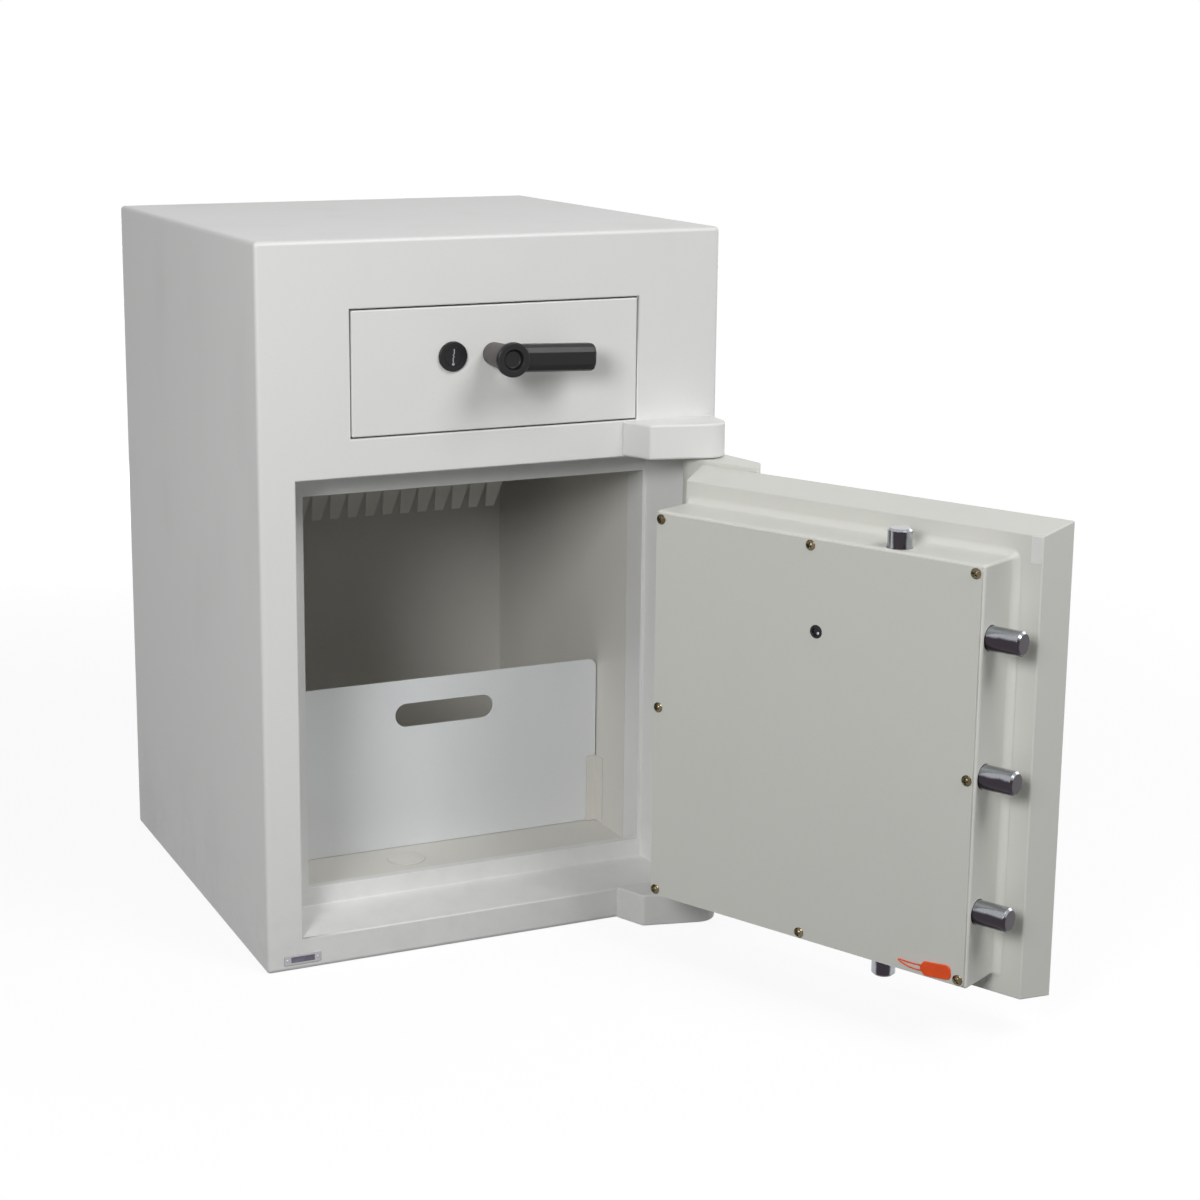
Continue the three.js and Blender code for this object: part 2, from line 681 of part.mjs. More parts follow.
const pivot = [right - hinge.inset, deep(-hinge.proud)];
const lowerBlockZ = [hinge.lowerBottom, doorwayFront.z[0] + hinge.lowerRise];
const upperBlockFoot = doorwayFront.z[1] + hinge.upperRise;
const upperBlockZ = [upperBlockFoot, upperBlockFoot + hinge.upperHeight];
const columnZ = [lowerBlockZ[1] + hinge.washerThickness + seat * 2, upperBlockZ[0] - hinge.topGap];

// Plan outline: a shoulder on the face, then a slope that runs on to the round boss.
function hingeOutline([bossX, bossY], radius, shoulderProud, faceY, closing) {
  const shoulder = [right - hinge.shoulderInset, deep(-shoulderProud)];
  const dx = shoulder[0] - bossX;
  const dy = shoulder[1] - bossY;
  const touch = Math.atan2(dy, dx) + Math.acos(radius / Math.hypot(dx, dy));
  const shape = new THREE.Shape();
  shape.moveTo(right - hinge.blockStart, faceY);
  shape.lineTo(...shoulder);
  shape.absarc(bossX, bossY, radius, touch, closing, false);
  return shape;
}

function hingeBlock(heights) {
  const boss = [right - hinge.bossInset, deep(-hinge.bossProud)];
  const faceY = front - seat;
  const shape = hingeOutline(boss, hinge.bossRadius, hinge.blockShoulder, faceY, 0);
  shape.lineTo(boss[0] + hinge.bossRadius, faceY);
  return extruded(shape, 'z', heights)
    .subtract(rod(hinge.pinRadius + seat, 'z', grown(heights, overrun), [...pivot, 0]));
}

function hingeColumn() {
  const slabHingeEdge = doorwayFront.x[1] - slab.sideGap;
  const faceY = deep(slab.inset) - seat;
  const shape = hingeOutline(pivot, hinge.columnRadius, hinge.columnShoulder, faceY, Math.PI / 2);
  shape.lineTo(slabHingeEdge, faceY);
  const hole = hinge.pinRadius + hinge.pinGap;
  const entry = hinge.pinEntry + overrun;
  return extruded(shape, 'z', columnZ)
    .subtract(rod(hole, 'z', [columnZ[0] - overrun, columnZ[0] + entry], [...pivot, 0]))
    .subtract(rod(hole, 'z', [columnZ[1] - entry, columnZ[1] + overrun], [...pivot, 0]));
}

function lowerPin() {
  return rod(hinge.pinRadius, 'z', [lowerBlockZ[0], columnZ[0] + hinge.pinEntry], [...pivot, 0]);
}

function upperPin() {
  return rod(hinge.pinRadius, 'z', [columnZ[1] - hinge.pinEntry, upperBlockZ[1]], [...pivot, 0]);
}

function hingeWasher() {
  const span = [lowerBlockZ[1] + seat, lowerBlockZ[1] + seat + hinge.washerThickness];
  return rod(hinge.washerRadius, 'z', span, [...pivot, 0])
    .subtract(rod(hinge.pinRadius + seat, 'z', grown(span, overrun), [...pivot, 0]));
}

// Door slab, filling, bolt box and cover.

const slabOuter = {
  x: grown(doorwayFront.x, -slab.sideGap),
  z: grown(doorwayFront.z, -slab.endGap),
};
const slabInner = {
  x: [slabOuter.x[0] + slab.taperFree, slabOuter.x[1] - slab.taperHinge],
  z: grown(slabOuter.z, -slab.taperEnds),
};
const slabFace = deep(slab.inset);
const slabBack = slabFace + slab.thickness;
const boltY = deep(boltDeep);
const boxX = [slabInner.x[0] + box.freeMargin, slabInner.x[1] - box.hingeMargin];
const boxZ = [slabInner.z[0] + box.bottomMargin, slabInner.z[1] - box.topMargin];
const boxSpan = [slabBack + seat, boltY + bolt.radius + box.boltRoom + box.lipThickness];
const coverSpan = [boxSpan[1] + seat, boxSpan[1] + seat + cover.thickness];
const centreAt = [middleOf(doorwayFront.x), 0, middleOf(doorwayFront.z)];
const lockZ = [
  centreAt[2] + detour.rise + detour.height + lockCase.barGap, boxZ[1] - lockCase.headroom,
];
const lockHeight = lockZ[1] - lockZ[0];
const dialAt = [centreAt[0], 0, lockZ[0] + lockHeight * dialShare];
const changeAt = [centreAt[0], 0, lockZ[0] + lockHeight * changeShare];

function spindleHole(spec, at, gap) {
  const start = slabFace - seat - dial.ringThickness - overrun;
  return rod(spec.spindleRadius + gap, 'y', [start, boxSpan[1]], at);
}

function drilled(manifold) {
  return manifold
    .subtract(spindleHole(doorHandle, centreAt, doorHandle.holeGap))
    .subtract(spindleHole(dial, dialAt, dial.holeGap));
}

function slabPocket(gap) {
  return block(
    grown(boxX, -slab.pocketMargin - gap),
    [slabFace + slab.skin + gap, slabBack + (gap > 0 ? -gap : overrun)],
    grown(boxZ, -slab.pocketMargin - gap),
  );
}

function doorSlab() {
  return drilled(taperedBlock(slabOuter, slabInner, [slabFace, slabBack]).subtract(slabPocket(0)));
}

function doorFilling() {
  return drilled(slabPocket(seat));
}

const boltSpacing = centreAt[2] - boxZ[0] - sideBolts.endRoom;
const sideBoltHeights = [-1, 0, 1].map((step) => centreAt[2] + step * boltSpacing);
const sideTip = ringClear.x[0] - sideBolts.reach;
const sideInner = boxX[0] + sideBolts.inner;
const endAt = [centreAt[0] - endBolts.leftOfMiddle, boltY, 0];
const endTip = ringClear.z[1] + endBolts.reach;
const endInner = boxZ[1] - endBolts.inner;
const mirrored = (height) => centreAt[2] * 2 - height;

function boltBox() {
  const shell = extruded(roundedRect(boxX, boxZ, box.cornerRadius), 'y', boxSpan);
  const room = block(
    grown(boxX, -box.wall), [boxSpan[0] - overrun, boxSpan[1] - box.lipThickness], grown(boxZ, -box.wall),
  );
  const window = block(grown(boxX, -box.lip), grown(boxSpan, overrun), grown(boxZ, -box.lip));
  const hole = bolt.radius + bolt.gap;
  let result = shell.subtract(room).subtract(window);
  for (const height of sideBoltHeights) {
    result = result.subtract(rod(
      hole, 'x', [boxX[0] - overrun, boxX[0] + box.wall + overrun], [0, boltY, height], bolt.ringSides,
    ));
  }
  const endBolt = rod(
    hole, 'z', [boxZ[0] - overrun, boxZ[1] + overrun], endAt, bolt.ringSides,
  );
  result = result.subtract(endBolt);
  for (const [x, z] of screwPlaces) {
    result = result.subtract(rod(
      screw.shankRadius + screw.shankGap, 'y', grown([boxSpan[1] - box.lipThickness, boxSpan[1]], overrun),
      [x, 0, z], smallSides,
    ));
  }
  return result;
}

const screwX = grown(boxX, -screw.inset);
const screwZ = grown(boxZ, -screw.inset);
const boxMiddle = [middleOf(boxX), middleOf(boxZ)];
const screwPlaces = [];
for (const x of [screwX[0], boxMiddle[0], screwX[1]]) {
  for (const z of [screwZ[0], boxMiddle[1], screwZ[1]]) {
    if (x !== boxMiddle[0] || z !== boxMiddle[1]) screwPlaces.push([x, z]);
  }
}

function boltBoxCover() {
  let sheet = extruded(
    roundedRect(grown(boxX, -cover.inset), grown(boxZ, -cover.inset), box.cornerRadius), 'y', coverSpan,
  );
  const cut = grown(coverSpan, overrun);
  sheet = sheet.subtract(rod(changeBush.radius + cover.holeGap, 'y', cut, changeAt));
  for (const [x, z] of screwPlaces) {
    sheet = sheet.subtract(rod(screw.shankRadius + screw.shankGap, 'y', cut, [x, 0, z], smallSides));
  }
  return sheet;
}

function coverScrew([x, z]) {
  const seatY = coverSpan[1] + seat;
  const crown = seatY + screw.headHeight;
  const profile = [
    [0, boxSpan[1] - box.lipThickness],
    [screw.shankRadius, boxSpan[1] - box.lipThickness],
    [screw.shankRadius, seatY],
    [screw.headRadius, seatY],
    [screw.headRadius * Math.cos(Math.PI / 6), seatY + screw.headHeight * Math.sin(Math.PI / 6)],
    [screw.headRadius * Math.cos(Math.PI / 3), seatY + screw.headHeight * Math.sin(Math.PI / 3)],
    [0, crown],
  ];
  return turned(profile, 'y', [x, 0, z], smallSides);
}

function keyChangeBush() {
  const span = [lockBack + seat, coverSpan[1] + changeBush.proud];
  return rod(changeBush.radius, 'y', span, changeAt)
    .subtract(rod(changeBush.bore, 'y', grown(span, overrun), changeAt, smallSides));
}

// Hard plate, lock case, dial and handle.

const hardSpan = [slabBack + seat, slabBack + seat + hardPlate.thickness];
const lockFront = hardSpan[1] + seat;
const lockBack = lockFront + lockCase.depth;

function hardenedPlate() {
  return drilled(block(
    [centreAt[0] - hardPlate.halfWidth, centreAt[0] + hardPlate.halfWidth], hardSpan,
    [centreAt[2] - hardPlate.below, boxZ[1] - hardPlate.headroom],
  ));
}

function lockBody() {
  const shape = roundedRect(
    [dialAt[0] - lockCase.halfWidth, dialAt[0] + lockCase.halfWidth],
    lockZ,
    lockCase.edge,
  );
  const socket = rod(
    dial.spindleRadius + seat, 'y', [lockFront - overrun, lockFront + lockCase.depth / 2], dialAt,
  );
  return extruded(shape, 'y', [lockFront, lockBack]).subtract(socket);
}

const dialRingFace = slabFace - seat - dial.ringThickness;
const dialBack = dialRingFace - seat;

function dialRing() {
  return rod(dial.ringRadius, 'y', [dialRingFace, slabFace - seat], dialAt)
    .subtract(spindleHole(dial, dialAt, dial.holeGap));
}

function combinationDial() {
  const face = dialBack - dial.thickness;
  const plain = turned([
    [0, face],
    [dial.radius - dial.thickness / 2, face],
    [dial.radius, dialBack - dial.thickness / 4],
    [dial.radius, dialBack],
    [0, dialBack],
  ], 'y', dialAt);
  const knob = new THREE.Shape();
  for (let i = 0; i < dial.knobFlutes * 2; i += 1) {
    const angle = Math.PI * i / dial.knobFlutes;
    const radius = dial.knobRadius - (i % 2) * dial.fluteDepth;
    const point = [dialAt[0] + radius * Math.cos(angle), dialAt[2] + radius * Math.sin(angle)];
    if (i === 0) knob.moveTo(...point);
    else knob.lineTo(...point);
  }
  const spindleEnd = lockFront + lockCase.depth / 2 - seat;
  return plain.add(extruded(knob, 'y', [face - dial.knobLength, face + dial.thickness / 2]))
    .add(rod(dial.spindleRadius, 'y', [face, spindleEnd], dialAt));
}

// Cam and boltwork. Every pin drives its bar by a slot across the bar's travel.

const sidePinRadius = sideBolts.travel / Math.SQRT2;
const endPinRadius = endBolts.travel / Math.SQRT2;
const pinPlace = (radius, angle) => [
  centreAt[0] + radius * Math.cos(angle), centreAt[2] + radius * Math.sin(angle),
];
const sidePin = pinPlace(sidePinRadius, cam.sideAngle);
const topPin = pinPlace(endPinRadius, cam.topAngle);
const bottomPin = pinPlace(endPinRadius, cam.bottomAngle);
const camSpan = [boxSpan[0] + cam.rise, boxSpan[0] + cam.rise + cam.thickness];
const layerFrom = (start) => [start + bar.layerGap, start + bar.layerGap + bar.sheet];
const innerLayer = layerFrom(camSpan[1]);
const outerLayer = layerFrom(innerLayer[1]);
const slotHalf = cam.pinRadius + cam.slotGap;

function boltworkCam() {
  const disc = rod(sidePinRadius + cam.rim, 'y', camSpan, centreAt);
  const pin = ([x, z], end) => rod(
    cam.pinRadius, 'y', [camSpan[0], end + cam.pinLength], [x, 0, z], smallSides,
  );
  return disc
    .add(pin(sidePin, outerLayer[1]))
    .add(pin(topPin, innerLayer[1]))
    .add(pin(bottomPin, innerLayer[1]))
    .subtract(rod(doorHandle.spindleRadius + seat, 'y', grown(camSpan, overrun), centreAt));
}

const barX = [sideInner + seat, sideInner + seat + bar.thickness];

function sideBoltBar() {
  const reach = boltSpacing + bar.overhang;
  const upright = block(
    barX, [innerLayer[0], boltY + bolt.radius], grown([centreAt[2], centreAt[2]], reach),
  );
  const slotZ = [sidePin[1] - slotHalf, centreAt[2] + sidePinRadius + slotHalf];
  const slotX = [sidePin[0] - slotHalf, sidePin[0] + slotHalf];
  const arm = block(
    [barX[0], slotX[1] + bar.margin], outerLayer, grown(slotZ, bar.margin),
  );
  return upright.add(arm).subtract(block(slotX, grown(outerLayer, overrun), slotZ));
}

const endX = grown([endAt[0], endAt[0]], bar.halfWidth);

// The shelf stands across the bar's end and carries the bolt.
function boltShelf(heights) {
  return block(endX, [innerLayer[0], boltY + bolt.radius], heights);
}

// The upper bar passes over the side pin's path and comes down beyond it.
function topBoltBar() {
  const shelfTop = endInner - seat;
  const runZ = [centreAt[2] + detour.rise, centreAt[2] + detour.rise + detour.height];
  const legX = [centreAt[0] + detour.legGap, centreAt[0] + detour.legGap + detour.legWidth];
  const slotX = [topPin[0] - slotHalf, centreAt[0] + endPinRadius + slotHalf];
  const slotZ = [topPin[1] - slotHalf, topPin[1] + slotHalf];
  const upright = block(endX, innerLayer, [runZ[0], shelfTop]);
  const run = block([endX[0], legX[1]], innerLayer, runZ);
  const leg = block(legX, innerLayer, [slotZ[0] - bar.margin, runZ[1]]);
  const tab = block([slotX[0] - bar.margin, legX[1]], innerLayer, grown(slotZ, bar.margin));
  return upright.add(run).add(leg).add(tab)
    .add(boltShelf([shelfTop - bar.shelfRise, shelfTop]))
    .subtract(block(slotX, grown(innerLayer, overrun), slotZ));
}

function bottomBoltBar() {
  const shelfBottom = mirrored(endInner) + seat;
  const slotX = [centreAt[0] - endPinRadius - slotHalf, bottomPin[0] + slotHalf];
  const slotZ = [bottomPin[1] - slotHalf, bottomPin[1] + slotHalf];
  const upright = block(endX, innerLayer, [shelfBottom, slotZ[1] + bar.margin]);
  const tab = block([endX[0], slotX[1] + bar.margin - seat * 2], innerLayer, grown(slotZ, bar.margin));
  return upright.add(tab)
    .add(boltShelf([shelfBottom, shelfBottom + bar.shelfRise]))
    .subtract(block(slotX, grown(innerLayer, overrun), slotZ));
}

// A bolt with a chamfered tip, from its tip to its inner end along the axis.
function lockBolt(axis, tip, inner, at) {
  const step = Math.sign(inner - tip) * bolt.chamfer;
  const profile = [
    [0, tip],
    [bolt.radius - bolt.chamfer, tip],
    [bolt.radius, tip + step],
    [bolt.radius, inner],
    [0, inner],
  ];
  return turned(tip < inner ? profile : profile.reverse(), axis, at, bolt.ringSides);
}

// Rating plate and seal.

const plateFace = front - seat;
const ratingX = [across(ratingPlate.left), across(ratingPlate.left + ratingPlate.width)];
const ratingZ = [ratingPlate.bottom, ratingPlate.bottom + ratingPlate.height];

function blankPlate() {
  return block(ratingX, [plateFace - ratingPlate.thickness, plateFace], ratingZ);
}

const sealSpan = [coverSpan[1] + seat, coverSpan[1] + seat + seal.thickness];
const sealCentre = [boxX[0] + seal.inset + seal.width / 2, 0, boxZ[0] + seal.rise + seal.height / 2];

function sealTag() {
  const corner = seal.height / 3;
  const half = [seal.width / 2, seal.height / 2];
  const outline = outlineShape([
    [-half[0], -half[1] + corner / 2],
    [-half[0] + corner / 2, -half[1]],
    [half[0] - corner, -half[1]],
    [half[0], -corner / 2],
    [half[0], corner / 2],
    [half[0] - corner, half[1]],
    [-half[0] + corner / 2, half[1]],
    [-half[0], half[1] - corner / 2],
  ]);
  return solid(
    extrudedGeometry(outline, 'y', sealSpan).rotateY(-seal.tilt).translate(...sealCentre),
  );
}

// One strand that leaves the tag, turns at its far end and comes back beside itself.
function sealWire() {
  const start = [seal.width / 2 + seat * 2, 0];
  const far = start[0] + seal.wireReach;
  const spread = seal.wireSpread / 2;
  const route = [
    [start[0], -spread],
    [(start[0] + far) / 2, seal.wireRise / 2 - spread * 2],
    [far, seal.wireRise],
    [(start[0] + far) / 2, seal.wireRise / 2 + spread * 2],
    [start[0], spread],
  ].map(([x, z]) => new THREE.Vector3(x, 0, z));
  const section = new THREE.Shape().absarc(0, 0, seal.wireRadius, 0, Math.PI * 2, false);
  const geometry = new THREE.ExtrudeGeometry(section, {
    extrudePath: new THREE.CatmullRomCurve3(route), steps: smallSides * 2, curveSegments: curveSteps,
  });
  geometry.rotateY(-seal.tilt).translate(...sealCentre);
  return solid(geometry.translate(0, (sealSpan[0] + sealSpan[1]) / 2, 0));
}

// The fixed body.

place('outer_casing', outerCasing(), paint);
place('barrier_fill', barrierFill(), concrete);
place('door_frame', doorFrame(), paint);
place('inner_liner', innerLiner(), liningPaint);
place('anchor_hole_cap', anchorCap(), platePaint);
place('left_plate_guide', plateGuide(-1), platePaint);
place('right_plate_guide', plateGuide(1), platePaint);
place('retaining_plate', retainingPlate(), platePaint);
place('anti_fish_comb', antiFishComb(), liningPaint);
place('drawer_sleeve', drawerSleeve(), steel);
place('drop_chute', dropChute(), steel);
place('left_drawer_runner', runnerRail(-1), steel);
place('right_drawer_runner', runnerRail(1), steel);
place('lower_hinge_block', hingeBlock(lowerBlockZ), paint);
place('upper_hinge_block', hingeBlock(upperBlockZ), paint);
place('lower_hinge_pin', lowerPin(), steel);
place('upper_hinge_pin', upperPin(), steel);
place('hinge_washer', hingeWasher(), brass);
place('rating_plate', blankPlate(), steel);

// The deposit drawer.

place('drawer_front', drawerFront(), paint);
place('drawer_tray', drawerTray(), steel);
place('key_escutcheon', keyCap(), blackPlastic);
place('key_barrel', keyBarrel(), blackPlastic);
place('lever_rose', roseRing(drawerLever, leverAt, front), blackPlastic);
place('drawer_lever', leverHandle(drawerLever, leverAt, front), blackPlastic);
place('lever_spindle', spindle(drawerLever, leverAt, front, latchSpan[1]), steel);
place('latch_arm', latchArm(), steel);

// The door turns about the hinge line; its pieces are drawn in the shut position.

const swing = new THREE.Group();
swing.position.set(pivot[0], pivot[1], 0);
swing.rotation.z = doorAngle;
safe.add(swing);
const door = new THREE.Group();
door.position.set(-pivot[0], -pivot[1], 0);
swing.add(door);

place('door_slab', doorSlab(), paint, door);
place('door_filling', doorFilling(), concrete, door);
place('hinge_column', hingeColumn(), paint, door);
place('bolt_box', boltBox(), paint, door);
place('bolt_box_cover', boltBoxCover(), paint, door);
screwPlaces.forEach((at, i) => place(`cover_screw_${i + 1}`, coverScrew(at), brass, door));
place('key_change_bush', keyChangeBush(), blackPlastic, door);
place('hard_plate', hardenedPlate(), steel, door);
place('lock_case', lockBody(), brass, door);
place('dial_ring', dialRing(), chrome, door);
place('handle_rose', roseRing(doorHandle, centreAt, slabFace), blackPlastic, door);
place('seal_tag', sealTag(), sealPlastic, door);
place('seal_wire', sealWire(), sealPlastic, door);
place('combination_dial', combinationDial(), blackPlastic, door);
place('door_handle', leverHandle(doorHandle, centreAt, slabFace), blackPlastic, door);
place('handle_spindle', spindle(doorHandle, centreAt, slabFace, camSpan[1]), steel, door);
place('boltwork_cam', boltworkCam(), steel, door);
place('side_bolt_bar', sideBoltBar(), steel, door);
const sideBoltNames = ['lower_side_bolt', 'middle_side_bolt', 'upper_side_bolt'];
sideBoltHeights.forEach((height, i) => {
  const at = [0, boltY, height];
  place(sideBoltNames[i], lockBolt('x', sideTip, sideInner, at), chrome, door);
});
place('top_bolt', lockBolt('z', endTip, endInner, endAt), chrome, door);
place('top_bolt_bar', topBoltBar(), steel, door);
place('bottom_bolt', lockBolt('z', mirrored(endTip), mirrored(endInner), endAt), chrome, door);
place('bottom_bolt_bar', bottomBoltBar(), steel, door);

export default safe;
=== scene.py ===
"""Dresses a drop safe with a deposit drawer: enamelled body, open door with its bolts, lever and lock.

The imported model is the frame. Door pieces are worked out with the door shut and then swung open.
Lengths are metres; a value times MM is a length in millimetres.
"""

import json
import math

import bmesh
import bpy
import numpy as np
from bpy.props import FloatProperty, FloatVectorProperty, PointerProperty
from mathutils import Euler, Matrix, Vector


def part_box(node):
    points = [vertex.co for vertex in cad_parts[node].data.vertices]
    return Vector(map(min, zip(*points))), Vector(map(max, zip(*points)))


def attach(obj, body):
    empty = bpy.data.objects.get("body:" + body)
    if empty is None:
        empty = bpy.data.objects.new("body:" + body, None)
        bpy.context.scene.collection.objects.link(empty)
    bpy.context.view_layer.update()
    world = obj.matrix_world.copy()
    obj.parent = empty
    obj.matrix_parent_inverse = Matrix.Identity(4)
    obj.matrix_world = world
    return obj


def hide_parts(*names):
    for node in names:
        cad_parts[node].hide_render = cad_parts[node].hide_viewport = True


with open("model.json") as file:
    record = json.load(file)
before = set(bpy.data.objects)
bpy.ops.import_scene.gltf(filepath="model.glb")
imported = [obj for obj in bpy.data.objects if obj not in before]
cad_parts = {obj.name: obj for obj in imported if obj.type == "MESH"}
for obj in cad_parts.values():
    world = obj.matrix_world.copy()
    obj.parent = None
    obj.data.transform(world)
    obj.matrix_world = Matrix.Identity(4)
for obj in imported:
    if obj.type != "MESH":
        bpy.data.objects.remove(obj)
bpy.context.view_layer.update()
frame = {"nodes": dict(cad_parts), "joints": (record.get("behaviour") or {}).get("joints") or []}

bl_info = {
    "name": "Drop safe with deposit drawer",
    "version": (1, 0, 0),
    "blender": (4, 5, 0),
    "location": "View3D > Sidebar > Safe",
    "description": "Makes the enamel, door, boltwork, lever and lock of a drop safe",
    "category": "Add Mesh",
}

MM = 0.001
FAR = 1.0  # beyond every wall
SHARP = 35  # degrees between two faces from which their edge counts as sharp
WHITE = (1, 1, 1, 1)

# Measures of the frame

PIVOT = np.array(next(joint["pos_m"] for joint in frame["joints"] if joint["name"] == "door_hinge"))
DOOR_ANGLE = math.radians(115.5)
ON_DOOR = {"door", "dial", "handle", "side_boltwork", "top_boltwork", "bottom_boltwork"}


def swung(points, angle=DOOR_ANGLE):
    """The points turned about the upright hinge line: x and y go round the pivot by the angle."""
    cos, sin = math.cos(angle), math.sin(angle)
    turn = np.array([[cos, sin, 0], [-sin, cos, 0], [0, 0, 1]])
    return (np.asarray(points, float) - PIVOT) @ turn + PIVOT


def corner_points(mesh):
    """All corners of a mesh, as rows."""
    points = np.empty(len(mesh.vertices) * 3, np.float32)
    mesh.vertices.foreach_get("co", points)
    return points.reshape(-1, 3).astype(float)


def span(name):
    """Lowest and highest corner of a CAD node."""
    low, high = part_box(name)
    return np.array(low), np.array(high)


def shut_span(name):
    """Lowest and highest corner of a door node with the door shut."""
    points = swung(corner_points(frame["nodes"][name].data), -DOOR_ANGLE)
    return points.min(0), points.max(0)


def grown(box, by):
    """A box's low and high corner moved outwards by a length, or by one for each axis."""
    return np.array([box[0] - by, box[1] + by])


BODY = span("outer_casing")
LEFT, FRONT = BODY[0][:2]
WALL = 5 * MM
SLAB = shut_span("door_slab")
DOORWAY = grown(SLAB, np.array([3, 0, 4.5]) * MM)
CASE = shut_span("bolt_box")
COVER = shut_span("bolt_box_cover")
SIDES = ("lower", "middle", "upper")
ACROSS = (0.915, -0.403, 0.0)  # the way in which an upright bolt shows its painted reflection band

# Sizes that belong to one group of pieces

MOUTH_GAP = 1.5 * MM
SPLAY_DEPTH = 58 * MM
SPLAY = np.array([(8.5, 0, 8.5), (-13, 0, -8.5)]) * MM
FRAME = {
    "ring": 10 * MM, "ring_left": 17.5 * MM, "ring_hinge": 3 * MM, "ring_ends": 27 * MM,
    "pocket_ends": 12 * MM, "back": 2.5 * MM, "sheet": 3 * MM, "round": 0.9 * MM,
}
HINGE = {
    "start": 371 * MM, "shoulder": 385.5 * MM, "crest": 5 * MM,
    "block_proud": 33 * MM, "boss": 21 * MM, "boss_shift": np.array([-4, -5]) * MM,
    "column_proud": 24 * MM, "column": 20.5 * MM, "column_edge": 437 * MM, "column_gap": 0.7 * MM,
    "pin": 7 * MM, "pin_tip": 0.5 * MM, "pin_chamfer": 1.2 * MM, "pin_gap": 0.2 * MM,
    "pin_entry": 37 * MM, "block_bore": 7.1 * MM, "column_bore": 7.3 * MM, "lid": 2 * MM,
}
LEVER = {
    "core": 9.5 * MM, "foot": 11 * MM, "neck": 12.9 * MM, "head": 16.4 * MM, "dish": 9.2 * MM,
    "neck_length": 41 * MM, "head_length": 8 * MM, "paddle_height": 26 * MM, "paddle_depth": 17 * MM,
    "paddle_set": 4 * MM, "droop": math.radians(2), "face_gap": 0.8 * MM,
}
HANDLE = {
    "core": 10 * MM, "foot": 13.2 * MM, "neck": 13.8 * MM, "head": 18 * MM, "dish": 10 * MM,
    "neck_length": 37 * MM, "head_length": 13 * MM, "paddle_height": 28 * MM, "paddle_depth": 18 * MM,
    "paddle_set": 4 * MM, "droop": 0.0, "face_gap": 0.8 * MM,
}
DIAL = {
    "bore": 5 * MM, "gap": 0.3 * MM, "height": 8 * MM, "disc": 35 * MM, "disc_edge": 2 * MM,
    "flat": 31 * MM, "hub": 20.5 * MM, "recess": 1.2 * MM, "recess_end": 17.4 * MM, "shaft": 4 * MM,
    "knob": 18.4 * MM, "knob_foot": 0.8 * MM, "knob_top": 3 * MM, "knob_edge": 1 * MM, "knob_dip": 1.4 * MM,
    "flute": 0.55 * MM, "flutes": 24, "digits": 26.2 * MM, "digit_size": 6.4 * MM,
    "digit_proud": 0.2 * MM,
}
# Millimetres from the body's front left foot, degrees, and pixels of the photo's own frame
CAMERA = {
    "place": (-615.7, -1982.1, 882.3), "azimuth": 23.79, "elevation": -11.83, "roll": 0.22, "focal": 2296.2,
    "middle": (516.0, 516.0), "frame": 1200.0,
}


# Outlines

def rays(angle):
    """Unit directions (cos, sin) at angles."""
    return np.stack([np.cos(angle), np.sin(angle)], 1)


def arc(centre, radius, start, end, steps):
    """Points on a circle from a start to an end angle in degrees: centre plus radius times (cos, sin)."""
    return np.asarray(centre) + radius * rays(np.radians(np.linspace(start, end, steps + 1)))


def circle(sides):
    """Unit directions round a full turn."""
    return rays(np.linspace(0, 2 * math.pi, sides, endpoint=False))


def sideways(way):
    """Unit directions a quarter turn clockwise from flat ones: (a, b) gives (b, -a) over its length."""
    normal = np.stack([way[:, 1], -way[:, 0]], 1)
    return normal / np.linalg.norm(normal, axis=1, keepdims=True)


def outward(outline):
    """Outward normals of an anticlockwise outline: sideways from the last point to the next."""
    return sideways(np.roll(outline, -1, 0) - np.roll(outline, 1, 0))


def turned(points, angle):
    """Flat points turned clockwise about the origin by an angle."""
    cos, sin = math.cos(angle), math.sin(angle)
    return points @ np.array([[cos, -sin], [sin, cos]])


def rounded(points, radii, steps=5, closed=True):
    """An outline with its corners rounded.

    At each corner the arc touches both edges: its centre lies on their bisector, and it runs
    between the touching points, which are radius over the tangent of half the corner's angle away.
    """
    points = np.asarray(points, float)
    radii = np.broadcast_to(np.asarray(radii, float), len(points))
    out = []
    for i, (corner, radius) in enumerate(zip(points, radii)):
        if radius <= 0 or (not closed and i in (0, len(points) - 1)):
            out.append(corner[None])
            continue
        back = points[i - 1] - corner
        ahead = points[(i + 1) % len(points)] - corner
        back, ahead = back / np.linalg.norm(back), ahead / np.linalg.norm(ahead)
        half = math.acos(np.clip(back @ ahead, -1, 1)) / 2
        bisector = (back + ahead) / np.linalg.norm(back + ahead)
        centre = corner + bisector * radius / math.sin(half)
        reach = radius / math.tan(half)
        first, last = corner + back * reach - centre, corner + ahead * reach - centre
        start = math.atan2(first[1], first[0])
        turn = (math.atan2(last[1], last[0]) - start + math.pi) % (2 * math.pi) - math.pi
        out.append(arc(centre, radius, math.degrees(start), math.degrees(start + turn), steps))
    return np.concatenate(out)


def rectangle(low, high, radius=0.0, steps=5):
    """A rectangle from its low and high corners, anticlockwise, with round corners."""
    (a0, b0), (a1, b1) = low, high
    return rounded([(a0, b0), (a1, b0), (a1, b1), (a0, b1)], radius, steps)


def slot_outline(centre, length, height, steps=12):
    """A level slot with half-round ends, anticlockwise."""
    reach = (length - height) / 2
    right = arc((centre[0] + reach, centre[1]), height / 2, -90, 90, steps)
    left = arc((centre[0] - reach, centre[1]), height / 2, 90, 270, steps)
    return np.concatenate([right, left])


